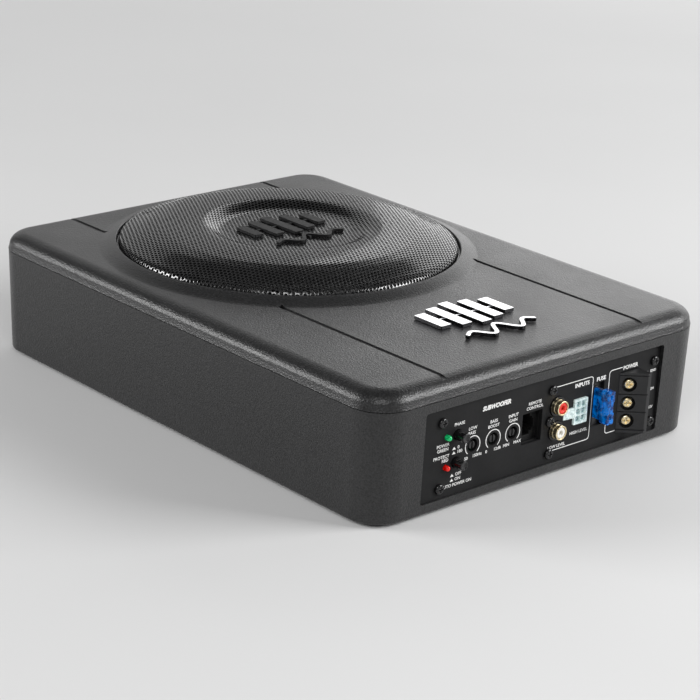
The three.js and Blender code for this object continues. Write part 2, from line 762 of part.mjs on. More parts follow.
function rcaBase() {
  let base = box([1.2, 15], [PANEL_BACK_Y + GAP, -154], [10, 52]);
  for (const z of Object.values(RCA.z)) {
    base = joined(base, bar(RCA.x, z, [RCA.collarY, PANEL_BACK_Y + 1], RCA.collarRadius, SIDES.middle));
    base = cut(base, bar(RCA.x, z, [RCA.collarY - 1, -163], 4.5, SIDES.middle));
  }
  for (const name of ["top_centre", "middle_centre", "bottom_centre"]) {
    base = cut(base, panelScrewHole(PANEL_SCREWS[name], 9));
  }
  return base;
}

function rcaBarrel(z) {
  const bore = bar(RCA.x, z, [-175, -165], 3.4, SIDES.middle);
  return cut(bar(RCA.x, z, [-174.2, -163.3], 4.15, SIDES.middle), bore);
}

function rcaInsert(z) {
  return cut(bar(RCA.x, z, [-173.7, -165.3], 3.1), bar(RCA.x, z, [-175, -167], 1.6));
}

function highLevelHeader() {
  const { x, z, frontY, latchX, latchZ } = HEADER;
  const backY = -156;
  const latch = polygon([[latchX, -169.9], [x[0] + 1, frontY + 0.1], [x[0] + 1, -160], [latchX, -167]]);
  let header = joined(box(x, [frontY, backY], z), plate(latch, latchZ));
  const cell = { columns: 2, rows: 3, half: 1.75, pitch: 4.2 };
  for (let column = 0; column < cell.columns; column += 1) {
    for (let row = 0; row < cell.rows; row += 1) {
      const cx = (x[0] + x[1]) / 2 + (column - 0.5) * cell.pitch;
      const cz = (z[0] + z[1]) / 2 + (row - 1) * cell.pitch;
      header = cut(
        header,
        box([cx - cell.half, cx + cell.half], [frontY - 1, frontY + 9], [cz - cell.half, cz + cell.half]),
      );
    }
  }
  return header;
}

const FUSE_BLADE = { halfThickness: 0.35, width: 5.2, inset: 0.5, tipY: -158.1 };

function fuseBlades(clearance) {
  const middle = (FUSE.x[0] + FUSE.x[1]) / 2;
  const reach = FUSE_BLADE.halfThickness + clearance;
  const x = [middle - reach, middle + reach];
  const y = [FUSE.shoulderY - 1, FUSE_BLADE.tipY + clearance];
  const { inset, width } = FUSE_BLADE;
  const low = [FUSE.z[0] + inset - clearance, FUSE.z[0] + inset + width + clearance];
  const high = [FUSE.z[1] - inset - width - clearance, FUSE.z[1] - inset + clearance];
  return joined(box(x, y, low), box(x, y, high));
}

function bladeFuse() {
  const { x, z, frontY, shoulderY } = FUSE;
  const cap = box(x, [frontY, frontY + 5.6], z);
  const waist = box([x[0] + 0.7, x[1] - 0.7], [frontY + 5.5, shoulderY], [z[0] + 1.1, z[1] - 1.1]);
  const grip = [z[0] + 6.2, z[1] - 6.2];
  const scoopLeft = box([x[0] - 1, x[0] + 0.9], [frontY - 1, frontY + 3.6], grip);
  const scoopRight = box([x[1] - 0.9, x[1] + 1], [frontY - 1, frontY + 3.6], grip);
  return joined(cut(joined(cap, waist), scoopLeft, scoopRight), fuseBlades(0));
}

function fuseHolder() {
  const body = box([36.6, 47.8], [PANEL_BACK_Y + GAP, -153], [17.4, 46.4]);
  const throat = box(
    [FUSE_SLOT.x[0], FUSE.x[1] + GAP],
    [PANEL.faceY, FUSE.shoulderY + GAP],
    [FUSE.z[0] - 1, FUSE_SLOT.z[1]],
  );
  return cut(body, throat, fuseBlades(GAP));
}

// The block's front is a slope that faces forward and to the left. Screws go in square to
// the slope, and the wires come in from the right, along it.
const SLOPE_START = new THREE.Vector2(TERMINAL.x[0], PANEL.faceY);
const SLOPE_END = new THREE.Vector2(TERMINAL.tipX, TERMINAL_TIP_Y);
const SLOPE = SLOPE_END.clone().sub(SLOPE_START).normalize();
const SLOPE_OUT = new THREE.Vector2(SLOPE.y, -SLOPE.x);
const TERMINAL_SCREW = {
  alongSlope: 5.6,
  headRadius: 3.1,
  wellRadius: 4.1,
  wellDepth: 3,
  shankRadius: 1.9,
  length: 7,
};

// A round bar square to the slope; depths are measured inwards from it.
function slopeBar(z, depth, radius, segments) {
  const geometry = new THREE.CylinderGeometry(radius, radius, depth[1] - depth[0], segments);
  geometry.rotateZ(Math.atan2(SLOPE_OUT.y, SLOPE_OUT.x) - Math.PI / 2);
  const middle = -(depth[0] + depth[1]) / 2;
  geometry.translate(
    SLOPE_START.x + SLOPE.x * TERMINAL_SCREW.alongSlope + SLOPE_OUT.x * middle,
    SLOPE_START.y + SLOPE.y * TERMINAL_SCREW.alongSlope + SLOPE_OUT.y * middle,
    z,
  );
  return solid(geometry);
}

// A square wire passage along the slope, open on the block's right-hand side.
function wirePassage(z) {
  const geometry = new THREE.BoxGeometry(26, 6, 7.4);
  geometry.rotateZ(Math.atan2(SLOPE.y, SLOPE.x));
  const along = 17;
  const inward = -5.8;
  geometry.translate(
    SLOPE_START.x + SLOPE.x * along + SLOPE_OUT.x * inward,
    SLOPE_START.y + SLOPE.y * along + SLOPE_OUT.y * inward,
    z,
  );
  return solid(geometry);
}

function terminalBlock() {
  const { x, z, tipX, backY, screwZ } = TERMINAL;
  const plan = polygon([
    [x[0], backY],
    [x[0], PANEL.faceY],
    [tipX, TERMINAL_TIP_Y],
    [x[1], TERMINAL_TIP_Y],
    [x[1], backY],
  ]);
  let block = plate(plan, z);
  for (const height of Object.values(screwZ)) {
    const { wellRadius, wellDepth, shankRadius } = TERMINAL_SCREW;
    block = cut(
      block,
      slopeBar(height, [-2, wellDepth], wellRadius, SIDES.narrow),
      slopeBar(height, [0, 8.6], shankRadius + GAP, SIDES.narrow),
      wirePassage(height),
    );
  }
  return block;
}

function terminalScrew(z) {
  const { headRadius, wellDepth, shankRadius, length } = TERMINAL_SCREW;
  const headBack = wellDepth - GAP;
  const head = slopeBar(z, [headBack - 2.2, headBack], headRadius, SIDES.narrow);
  const shank = slopeBar(z, [headBack - 0.5, headBack - 0.5 + length - 2], shankRadius, SIDES.bolt);
  const slot = new THREE.BoxGeometry(1.9, 8, 1.1);
  slot.rotateZ(Math.atan2(SLOPE_OUT.y, SLOPE_OUT.x));
  const reach = -(headBack - 2.2) - 0.2;
  slot.translate(
    SLOPE_START.x + SLOPE.x * TERMINAL_SCREW.alongSlope + SLOPE_OUT.x * reach,
    SLOPE_START.y + SLOPE.y * TERMINAL_SCREW.alongSlope + SLOPE_OUT.y * reach,
    z,
  );
  return cut(joined(head, shank), solid(slot));
}

function addPanel() {
  addPiece("control_panel", panelPlate(), panelPaint);
  for (const [place, at] of Object.entries(PANEL_SCREWS)) {
    addPiece(`panel_screw_${place}`, panelScrew(at), blackSteel);
  }
  addPiece("power_lamp", indicatorLamp(LED.green), greenLens);
  addPiece("protect_lamp", indicatorLamp(LED.red), redLens);
  addPiece("phase_button", pushButton(BUTTON.phase), blackPlastic);
  addPiece("auto_on_button", pushButton(BUTTON.autoOn), blackPlastic);
  for (const [name, x] of Object.entries(POT_X)) {
    addPiece(`${name}_shaft`, potShaft(x), blackPlastic);
  }
  addPiece("remote_jack", remoteJack(), blackPlastic);
  addPiece("rca_base", rcaBase(), blackPlastic);
  addPiece("rca_barrel_red", rcaBarrel(RCA.z.red), gold);
  addPiece("rca_barrel_white", rcaBarrel(RCA.z.white), gold);
  addPiece("rca_insert_red", rcaInsert(RCA.z.red), redPlastic);
  addPiece("rca_insert_white", rcaInsert(RCA.z.white), whitePlastic);
  addPiece("high_level_header", highLevelHeader(), whitePlastic);
  addPiece("fuse_holder", fuseHolder(), blackPlastic);
  addPiece("blade_fuse", bladeFuse(), bluePlastic);
  addPiece("terminal_block", terminalBlock(), blackPlastic);
  for (const [name, z] of Object.entries(TERMINAL.screwZ)) {
    addPiece(`${name}_terminal_screw`, terminalScrew(z), gold);
  }
}

// ---------------------------------------------------------------- amplifier
// One board with the parts that are soldered to it: pot and switch bodies on a riser,
// chips and transistors.
function amplifierBoard() {
  const boardZ = [8, 9.6];
  const riserY = [-158, -156.4];
  const riserX = [-80, -21];
  let board = joined(
    box([-80, 80], [-148, -62], boardZ),
    box(riserX, [riserY[0], -147], boardZ),
    box(riserX, riserY, [boardZ[0], 50]),
  );
  const potZ = [POT.z - 4.8, POT.z + 4.8];
  for (const x of Object.values(POT_X)) {
    board = joined(board, box([x - 4.8, x + 4.8], [POT.backY + GAP, riserY[1]], potZ));
  }
  for (const [x, z] of [BUTTON.phase, BUTTON.autoOn]) {
    const front = BUTTON.backY + BUTTON_TRAVEL + GAP;
    board = joined(board, box([x - 3.8, x + 3.8], [front, riserY[1]], [z - 3.8, z + 3.8]));
  }
  for (const x of [10, 28, 46]) {
    board = joined(board, box([x, x + 12], [-98, -86], [boardZ[1] - 0.5, boardZ[1] + 3]));
  }
  return board;
}

function heatSink() {
  const base = box([-70, 70], [-76, -73], [11.5, 34]);
  let sink = base;
  for (let x = -66; x <= 66; x += 12) {
    sink = joined(sink, box([x - 1, x + 1], [-73.5, -64], [11.5, 34]));
  }
  return sink;
}

function addAmplifier() {
  addPiece("amplifier_board", amplifierBoard(), circuitBoard);
  addPiece("heat_sink", heatSink(), aluminium);
  const toroid = new THREE.TorusGeometry(14, 6.5, 10, 20);
  toroid.translate(-44, -110, 9.6 + GAP + 6.5);
  addPiece("toroid_transformer", solid(toroid), copper);
  addPiece("filter_capacitor", post(-4, -112, [9.6 + GAP, 40], 9, SIDES.middle), capacitorSleeve);
}

addCase();
addGrilleAndBadge();
addWoofer();
addPanel();
addAmplifier();

export default group;
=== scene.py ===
"""Looks for the powered car subwoofer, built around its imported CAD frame.

Shapes are worked out in millimetres in the row frame, and scaled to metres when a mesh is made.
"""

import math

import bmesh
import bpy
import numpy as np
from mathutils import Matrix, Vector


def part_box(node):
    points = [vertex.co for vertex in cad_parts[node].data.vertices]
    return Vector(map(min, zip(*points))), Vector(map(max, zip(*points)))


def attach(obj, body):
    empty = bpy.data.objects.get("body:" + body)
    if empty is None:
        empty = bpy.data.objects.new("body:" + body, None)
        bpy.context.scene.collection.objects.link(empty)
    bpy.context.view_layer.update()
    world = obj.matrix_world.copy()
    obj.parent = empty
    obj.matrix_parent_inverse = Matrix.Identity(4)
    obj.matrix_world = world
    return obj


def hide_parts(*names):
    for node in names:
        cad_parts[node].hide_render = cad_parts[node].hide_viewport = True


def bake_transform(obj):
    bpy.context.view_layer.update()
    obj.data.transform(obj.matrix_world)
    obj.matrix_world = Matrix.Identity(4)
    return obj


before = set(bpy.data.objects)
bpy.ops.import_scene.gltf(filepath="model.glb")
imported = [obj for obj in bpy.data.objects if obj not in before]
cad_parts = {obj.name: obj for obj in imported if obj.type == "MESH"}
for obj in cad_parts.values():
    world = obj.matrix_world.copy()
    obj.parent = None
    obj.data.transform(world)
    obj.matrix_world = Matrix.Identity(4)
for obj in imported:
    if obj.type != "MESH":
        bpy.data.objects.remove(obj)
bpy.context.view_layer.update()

MM = 0.001
CLEARANCE = 0.3  # the gap that the CAD keeps between neighbouring pieces


def span(node):
    """Lowest and highest corner of a CAD node in millimetres."""
    low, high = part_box(node)
    return low / MM, high / MM


def middle(node):
    low, high = span(node)
    return (low + high) / 2


# ---------------------------------------------------------------- driving dimensions
CASE_LOW, CASE_HIGH = span("lower_case")
LID_TOP_OF_RING = span("top_cover")[1].z
GRILLE_LOW, GRILLE_HIGH = span("grille")
CASE_Y = (CASE_LOW.y + CASE_HIGH.y) / 2
CASE_Z = CASE_LOW.z
HALF_WIDTH = CASE_HIGH.x
HALF_LENGTH = (CASE_HIGH.y - CASE_LOW.y) / 2
CORNER_RADIUS = 21.0
WALL = 3.0
DRAFT = 1.6
RING_RISE = 4.0
LID_TOP = LID_TOP_OF_RING - RING_RISE
SEAM_TOP = CASE_HIGH.z
SEAM_BOTTOM_OF_LID = CASE_HIGH.z + CLEARANCE
SKIRT_INSET = 1.1
CREASE = LID_TOP - 6.0
SHOULDER_WIDTH = 10.0
WOOFER_Y = (GRILLE_LOW.y + GRILLE_HIGH.y) / 2
RING_FOOT_RADIUS = 112.0
RING_LIP_RADIUS = 103.0
RING_INNER_RADIUS = 102.3
MOUTH_RADIUS = 92.0

PANEL_LOW, PANEL_HIGH = span("control_panel")
PANEL_FACE = PANEL_LOW.y
PANEL_BACK = PANEL_HIGH.y
WINDOW_HALF_WIDTH = 90.8
WINDOW_LOW = CASE_Z + 5.9
WINDOW_HIGH = CASE_Z + 57.1


# ---------------------------------------------------------------- mesh helpers
def mesh_piece(name, points, faces, smooth=True):
    """A mesh object from millimetre points."""
    mesh = bpy.data.meshes.new(name)
    mesh.from_pydata((np.asarray(points, float) * MM).tolist(), [], [list(map(int, f)) for f in faces])
    mesh.validate()
    mesh.update()
    for polygon in mesh.polygons:
        polygon.use_smooth = smooth
    piece = bpy.data.objects.new(name, mesh)
    bpy.context.scene.collection.objects.link(piece)
    return piece


def face_outwards(piece):
    work = bmesh.new()
    work.from_mesh(piece.data)
    bmesh.ops.remove_doubles(work, verts=work.verts, dist=1e-7)
    bmesh.ops.recalc_face_normals(work, faces=work.faces)
    work.to_mesh(piece.data)
    work.free()
    return piece


def apply_modifiers(piece):
    """Bakes the modifiers into the mesh."""
    bpy.context.view_layer.update()
    graph = bpy.context.evaluated_depsgraph_get()
    baked = bpy.data.meshes.new_from_object(piece.evaluated_get(graph), depsgraph=graph)
    piece.modifiers.clear()
    piece.data = baked
    return piece


def discard(piece):
    bpy.data.objects.remove(piece)


def combine(piece, tools, operation):
    """Joins or cuts a solid with each tool in turn, and removes the tools."""
    for tool in tools:
        step = piece.modifiers.new("step", "BOOLEAN")
        step.object = tool
        step.operation = operation
        step.solver = "EXACT"
    apply_modifiers(piece)
    for tool in tools:
        discard(tool)
    return piece


def cut(piece, *tools):
    return combine(piece, tools, "DIFFERENCE")


def join(piece, *tools):
    return combine(piece, tools, "UNION")


def soften(piece, width=0.3, segments=2, angle=32):
    """Rounds the edges sharper than the angle, and shades the rest smooth."""
    if width:
        rounding = piece.modifiers.new("rounding", "BEVEL")
        rounding.width = width * MM
        rounding.segments = segments
        rounding.limit_method = "ANGLE"
        rounding.angle_limit = math.radians(angle)
        rounding.harden_normals = False
        apply_modifiers(piece)
    for polygon in piece.data.polygons:
        polygon.use_smooth = True
    piece.data.set_sharp_from_angle(angle=math.radians(angle + 12))
    even = piece.modifiers.new("even_shading", "WEIGHTED_NORMAL")
    even.keep_sharp = True
    even.weight = 80
    return piece


def block(name, low, high):
    """A box between two corners."""
    x, y, z = zip(low, high)
    points = [(x[i], y[j], z[k]) for i in (0, 1) for j in (0, 1) for k in (0, 1)]
    faces = [(0, 1, 3, 2), (4, 6, 7, 5), (0, 4, 5, 1), (2, 3, 7, 6), (0, 2, 6, 4), (1, 5, 7, 3)]
    return mesh_piece(name, points, faces)


def bar(name, x, z, half_x, half_z, front, back):
    """A box along Y about a place on the panel, given by its half width and half height."""
    return block(name, (x - half_x, front, z - half_z), (x + half_x, back, z + half_z))


AXES = {
    "z": Matrix.Identity(3),
    "y": Matrix(((1, 0, 0), (0, 0, 1), (0, -1, 0))),
}


def lathe(name, profile, at, segments=48, turn=AXES["z"]):
    """A closed body of revolution; profile is (radius, height) points that end on the axis or close."""
    on_axis = [radius < 1e-6 for radius, _ in profile]
    closed_loop = not (on_axis[0] and on_axis[-1])
    points = []
    rows = []
    for radius, height in profile:
        if radius < 1e-6:
            rows.append([len(points)] * segments)
            points.append((0.0, 0.0, height))
            continue
        rows.append(list(range(len(points), len(points) + segments)))
        for step in range(segments):
            angle = 2 * math.pi * step / segments
            points.append((radius * math.cos(angle), radius * math.sin(angle), height))
    pairs = list(zip(rows, rows[1:]))
    if closed_loop:
        pairs.append((rows[-1], rows[0]))
    faces = []
    for lower, upper in pairs:
        for step in range(segments):
            after = (step + 1) % segments
            face = list(dict.fromkeys([lower[step], lower[after], upper[after], upper[step]]))
            if len(face) > 2:
                faces.append(face)
    placed = [turn @ Vector(point) + Vector(at) for point in points]
    return face_outwards(mesh_piece(name, [tuple(p) for p in placed], faces))


def turned(name, profile, place, axis="z", segments=48, rounding=0.0, tools=()):
    """A lathed piece about an axis through a place, cut by its tools, with softened edges."""
    x, y, z = place
    piece = lathe(name, profile, (x, y, 0) if axis == "z" else (x, 0, z), segments, AXES[axis])
    if tools:
        cut(piece, *tools)
    return soften(piece, rounding)


def rod(name, place, low, high, radius, segments=32, axis="z"):
    """A plain round bar between two heights along an axis."""
    x, y, z = place
    profile = [(0, low), (radius, low), (radius, high), (0, high)]
    return lathe(name, profile, (x, y, 0) if axis == "z" else (x, 0, z), segments, AXES[axis])


def arc(centre, radius, start, end, steps):
    """Points along an arc, angles in degrees."""
    angles = np.radians(np.linspace(start, end, steps + 1))
    return [(centre[0] + radius * math.cos(a), centre[1] + radius * math.sin(a)) for a in angles]


def prism(name, outline, low, high, plane="xy"):
    """A flat outline raised between two levels along the axis that the plane leaves out."""
    def lift(point, level):
        u, v = point
        return {"xy": (u, v, level), "xz": (u, level, v), "yz": (level, u, v)}[plane]

    count = len(outline)
    points = [lift(p, low) for p in outline] + [lift(p, high) for p in outline]
    faces = [list(range(count)), list(range(count, 2 * count))]
    for i in range(count):
        after = (i + 1) % count
        faces.append([i, after, count + after, count + i])
    return face_outwards(mesh_piece(name, points, faces))


def rounded_outline(low, high, radius, steps=6):
    """A rounded rectangle in two dimensions."""
    centres = [
        ((high[0] - radius, high[1] - radius), 0),
        ((low[0] + radius, high[1] - radius), 90),
        ((low[0] + radius, low[1] + radius), 180),
        ((high[0] - radius, low[1] + radius), 270),
    ]
    return [point for centre, start in centres for point in arc(centre, radius, start, start + 90, steps)]


def case_loft(name, levels, steps=16):
    """A closed body through case outlines given as (inset, height), from the lowest up."""
    points = []
    for inset, height in levels:
        low = (-HALF_WIDTH + inset, CASE_Y - HALF_LENGTH + inset)
        high = (HALF_WIDTH - inset, CASE_Y + HALF_LENGTH - inset)
        outline = rounded_outline(low, high, CORNER_RADIUS - inset, steps)
        points += [(x, y, height) for x, y in outline]
    count = 4 * (steps + 1)
    faces = [list(range(count)), list(range(len(points) - count, len(points)))]
    for level in range(len(levels) - 1):
        base = level * count
        for i in range(count):
            after = (i + 1) % count
            faces.append([base + i, base + after, base + count + after, base + count + i])
    return face_outwards(mesh_piece(name, points, faces))


def paint(piece, material):
    piece.data.materials.clear()
    piece.data.materials.append(MATERIALS[material])


def finish_piece(piece, material, *nodes, body="case"):
    """Paints a piece, makes it ride on its body and stand for its CAD nodes."""
    paint(piece, material)
    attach(piece, body)
    if nodes:
        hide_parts(*nodes)


# ---------------------------------------------------------------- materials
class Shader:
    """A node material with one principled shader and short helpers for its texture nodes."""

    def __init__(self, name, **inputs):
        self.material = bpy.data.materials.new(name)
        self.material.use_nodes = True
        self.nodes = self.material.node_tree.nodes
        self.links = self.material.node_tree.links
        self.surface = self.nodes["Principled BSDF"]
        for key, value in inputs.items():
            self.surface.inputs[key.replace("_", " ")].default_value = value
        coordinates = self.nodes.new("ShaderNodeTexCoord").outputs
        self.place, self.normal = coordinates["Object"], coordinates["Normal"]

    def noise(self, scale, detail=3.0, roughness=0.55):
        node = self.nodes.new("ShaderNodeTexNoise")
        node.inputs["Scale"].default_value = scale
        node.inputs["Detail"].default_value = detail
        node.inputs["Roughness"].default_value = roughness
        self.links.new(self.place, node.inputs["Vector"])
        return node.outputs["Fac"]

    def cells(self, scale, randomness=1.0):
        node = self.nodes.new("ShaderNodeTexVoronoi")
        node.inputs["Scale"].default_value = scale
        node.inputs["Randomness"].default_value = randomness
        self.links.new(self.place, node.inputs["Vector"])
        return node.outputs["Distance"]

    def waves(self, scale, direction="X", distortion=0.0):
        node = self.nodes.new("ShaderNodeTexWave")
        node.bands_direction = direction
        node.inputs["Scale"].default_value = scale
        node.inputs["Distortion"].default_value = distortion
        self.links.new(self.place, node.inputs["Vector"])
        return node.outputs["Fac"]

    def spread(self, value, low, high, to_low, to_high):
        node = self.nodes.new("ShaderNodeMapRange")
        for key, number in (("From Min", low), ("From Max", high), ("To Min", to_low), ("To Max", to_high)):
            node.inputs[key].default_value = number
        self.links.new(value, node.inputs["Value"])
        return node.outputs["Result"]

    def blend_sum(self, first, second, share=1.0):
        node = self.nodes.new("ShaderNodeMath")
        node.operation = "MULTIPLY_ADD"
        node.inputs[1].default_value = share
        self.links.new(second, node.inputs[0])
        self.links.new(first, node.inputs[2])
        return node.outputs[0]

    def tint(self, value, dark, light, low=0.3, high=0.7):
        node = self.nodes.new("ShaderNodeValToRGB")
        node.color_ramp.elements[0].position = low
        node.color_ramp.elements[1].position = high
        node.color_ramp.elements[0].color = (*dark, 1)
        node.color_ramp.elements[1].color = (*light, 1)
        self.links.new(value, node.inputs["Fac"])
        self.links.new(node.outputs["Color"], self.surface.inputs["Base Color"])

    def gloss(self, value, smooth, rough, low=0.3, high=0.7):
        self.links.new(self.spread(value, low, high, smooth, rough), self.surface.inputs["Roughness"])

    def relief(self, value, depth_mm, strength=1.0):
        node = self.nodes.new("ShaderNodeBump")
        node.inputs["Strength"].default_value = strength
        node.inputs["Distance"].default_value = depth_mm * MM
        self.links.new(value, node.inputs["Height"])
        self.links.new(node.outputs["Normal"], self.surface.inputs["Normal"])


def moulded_plastic():
    """Black ABS with a coarse spark-eroded grain."""
    shader = Shader("moulded_plastic", Specular_IOR_Level=0.5)
    grain = shader.noise(900, 2.0, 0.6)
    pores = shader.cells(1100)
    texture = shader.blend_sum(grain, pores, 0.6)
    shader.relief(texture, 0.2, 0.9)
    shader.tint(texture, (0.004, 0.004, 0.0045), (0.026, 0.026, 0.0265), 0.45, 1.05)
    shader.gloss(shader.noise(24, 4.0), 0.3, 0.38)
    return shader.material


def layered(name, tint, gloss, relief, **inputs):
    """A surface whose colour, gloss and relief follow a noise each.

    tint is (scale, detail, dark, light), gloss is (scale, detail, smooth, rough) and relief is
    (scale, detail, depth in millimetres, strength).
    """
    shader = Shader(name, **inputs)
    layers = ((shader.tint, tint), (shader.gloss, gloss), (shader.relief, relief))
    for layer, (scale, detail, *values) in layers:
        layer(shader.noise(scale, detail), *values)
    return shader.material


def satin_plastic(name, dark, light, rough=0.38, **inputs):
    """A smooth moulded plastic with faint flow marks."""
    gloss = (700, 2, rough - 0.05, rough + 0.08)
    return layered(name, (160, 3, dark, light), gloss, (2600, 2, 0.012, 0.5), **inputs)


def powder_coat():
    """Glossy black coat on pressed steel."""
    return layered(
        "powder_coat", (60, 2, (0.01, 0.01, 0.0105), (0.018, 0.018, 0.0185)), (400, 2, 0.2, 0.3),
        (900, 2, 0.012, 0.5), Specular_IOR_Level=1.0, Coat_Weight=0.7, Coat_Roughness=0.1,
    )


def panel_paint():
    """Fine satin paint on the panel plate."""
    return layered(
        "panel_paint", (50, 3, (0.011, 0.011, 0.0115), (0.016, 0.016, 0.0165)), (500, 2, 0.42, 0.52),
        (2400, 2, 0.012, 0.6), Specular_IOR_Level=0.13,
    )


def printed_ink():
    shader = Shader("printed_ink", Roughness=0.6)
    shader.tint(shader.noise(2000, 2.0), (0.62, 0.62, 0.61), (0.86, 0.86, 0.85), 0.25, 0.6)
    shader.relief(shader.noise(3000, 1.0), 0.01, 0.5)
    return shader.material


def plated_metal(name, dark, light, rough=0.2, grain=1400):
    """Plated or polished metal with fine machining variation."""
    gloss = (grain, 3, rough, rough + 0.16)
    return layered(name, (500, 3, dark, light), gloss, (grain, 2, 0.008, 0.5), Metallic=1.0)


def metal_painted_side_shade():
    """Badge metal: bright silver where a face points up, and painted shade on the sides, which go near black
    by the way they face.
    """
    shader = Shader("metal_painted_side_shade", Metallic=1.0)
    split = shader.nodes.new("ShaderNodeSeparateXYZ")
    shader.links.new(shader.normal, split.inputs["Vector"])
    # The tone follows how far each face turns up: painted shade on the sides, bright metal on top.
    facing = shader.blend_sum(split.outputs["Z"], shader.noise(700, 3.0), 0.06)
    shader.tint(facing, (0.05, 0.05, 0.053), (0.96, 0.96, 0.97), 0.86, 0.96)
    shader.gloss(shader.noise(1400, 3.0), 0.22, 0.32)
    shader.relief(shader.noise(1400, 2.0), 0.008, 0.5)
    return shader.material


def clear_plastic(name, dark, light, transmission, rough=0.12, glow=0.0, streaks=420):
    """Tinted see-through plastic, cloudy inside, with the light it gathers shown as a faint glow."""
    shader = Shader(name, IOR=1.5, Transmission_Weight=transmission)
    cloud = shader.noise(streaks, 3.0)
    shader.tint(cloud, dark, light, 0.42, 0.6)
    shader.gloss(shader.noise(900, 2.0), rough, rough + 0.1)
    shader.relief(shader.noise(500, 2.0), 0.03, 0.4)
    if glow:
        strength = shader.spread(cloud, 0.35, 0.65, 0.25 * glow, glow)
        shader.surface.inputs["Emission Color"].default_value = (*light, 1)
        shader.links.new(strength, shader.surface.inputs["Emission Strength"])
    return shader.material


def rubber_skin(name, dark, light):
    gloss = (300, 2, 0.62, 0.8)
    return layered(name, (120, 3, dark, light), gloss, (1800, 2, 0.03, 0.7), Specular_IOR_Level=0.35)


def woven_cloth():
    """Resin-dipped open weave for the spider."""
    shader = Shader("spider_cloth", Roughness=0.85)
    weave = shader.blend_sum(shader.waves(900, "X"), shader.waves(900, "Y"))
    shader.tint(weave, (0.28, 0.15, 0.04), (0.55, 0.36, 0.13), 0.4, 1.4)
    shader.relief(weave, 0.08)
    return shader.material


def pressed_fibre():
    """Black pulp with short fibres, for the cone and dust cap."""
    shader = Shader("pressed_fibre", Specular_IOR_Level=0.3)
    fibres = shader.waves(420, "X", 9.0)
    shader.tint(fibres, (0.014, 0.014, 0.015), (0.03, 0.03, 0.031))
    shader.gloss(fibres, 0.66, 0.85)
    shader.relief(shader.blend_sum(fibres, shader.noise(1400, 3.0), 0.8), 0.05)
    return shader.material


def circuit_board():
    """Green solder mask with faint copper tracks under it."""
    shader = Shader("circuit_board", Coat_Weight=0.4)
    tracks = shader.waves(130, "X", 3.0)
    shader.tint(tracks, (0.01, 0.085, 0.035), (0.02, 0.16, 0.07), 0.55, 0.62)
    shader.gloss(tracks, 0.25, 0.4)
    shader.relief(tracks, 0.03)
    return shader.material


def wound_copper():
    """Enamelled wire laid side by side."""
    shader = Shader("wound_copper", Metallic=0.9)
    turns = shader.waves(620, "Z", 1.5)
    shader.tint(turns, (0.3, 0.1, 0.035), (0.75, 0.33, 0.15))
    shader.gloss(turns, 0.22, 0.4)
    shader.relief(turns, 0.12)
    return shader.material


def ferrite():
    """Ground ceramic magnet."""
    tint = (600, 5, (0.035, 0.035, 0.038), (0.075, 0.075, 0.08))
    return layered("ferrite", tint, (200, 3, 0.55, 0.75), (1100, 4, 0.05), Specular_IOR_Level=0.4)


def foam():
    """Closed-cell foam."""
    shader = Shader("foam", Roughness=0.95)
    pores = shader.cells(900)
    shader.tint(pores, (0.006, 0.006, 0.006), (0.03, 0.03, 0.03), 0.1, 0.5)
    shader.relief(pores, 0.15)
    return shader.material


MATERIALS = {
    "case": moulded_plastic(),
    "grille": powder_coat(),
    "panel": panel_paint(),
    "ink": printed_ink(),
    "matte_black": satin_plastic(
        "matte_black", (0.006, 0.006, 0.006), (0.01, 0.01, 0.0105), 0.5, Specular_IOR_Level=0.25
    ),
    "black": satin_plastic("black_plastic", (0.008, 0.008, 0.009), (0.014, 0.014, 0.015)),
    "gloss_black": satin_plastic("gloss_black", (0.006, 0.006, 0.006), (0.01, 0.01, 0.011), 0.18),
    "trim": metal_painted_side_shade(),
    "screw": satin_plastic("black_lacquer", (0.007, 0.007, 0.0075), (0.013, 0.013, 0.0135), 0.14),
    "gold": plated_metal("gold_plate", (0.82, 0.64, 0.34), (1.0, 0.9, 0.64), 0.22),
    "zinc": plated_metal("zinc_plate", (0.5, 0.51, 0.53), (0.66, 0.67, 0.69), 0.28),
    "aluminium": plated_metal("extruded_aluminium", (0.5, 0.51, 0.52), (0.62, 0.63, 0.64), 0.32, 700),
    "red": satin_plastic("red_plastic", (0.62, 0.02, 0.012), (0.8, 0.04, 0.02), 0.25),
    "white": satin_plastic("white_plastic", (0.78, 0.77, 0.72), (0.88, 0.87, 0.83), 0.3),
    "blue": clear_plastic("blue_fuse", (0.0, 0.004, 0.08), (0.0, 0.25, 0.82), 0.55, 0.05, 0.2, 290),
    "milky": clear_plastic("natural_nylon", (0.62, 0.76, 0.76), (0.82, 0.92, 0.91), 0.2, 0.22, 0.16),
    # Cell floors: a darker copy of the header nylon, painted shade in the cells.
    "cell_floor_shade": clear_plastic("nylon_with_painted_cell_shade", (0.17, 0.3, 0.31), (0.3, 0.46, 0.47), 0.2, 0.22, 0.1),
    "green_lamp": clear_plastic("green_lamp", (0.0, 0.36, 0.12), (0.02, 0.6, 0.2), 0.3, 0.08, 0.3),
    "red_lamp": clear_plastic("red_lamp", (0.6, 0.0, 0.0), (0.9, 0.02, 0.01), 0.3, 0.08, 0.18),
    "rubber": rubber_skin("rubber", (0.008, 0.008, 0.008), (0.016, 0.016, 0.016)),
    "surround": rubber_skin("surround_rubber", (0.01, 0.01, 0.01), (0.018, 0.018, 0.018)),
    "spider": woven_cloth(),
    "cone": pressed_fibre(),
    "basket": rubber_skin("basket_paint", (0.018, 0.018, 0.02), (0.032, 0.032, 0.034)),
    "board": circuit_board(),
    "copper": wound_copper(),
    "ferrite": ferrite(),
    "foam": foam(),
    "sleeve": satin_plastic("capacitor_sleeve", (0.012, 0.02, 0.04), (0.02, 0.03, 0.055), 0.25),
}


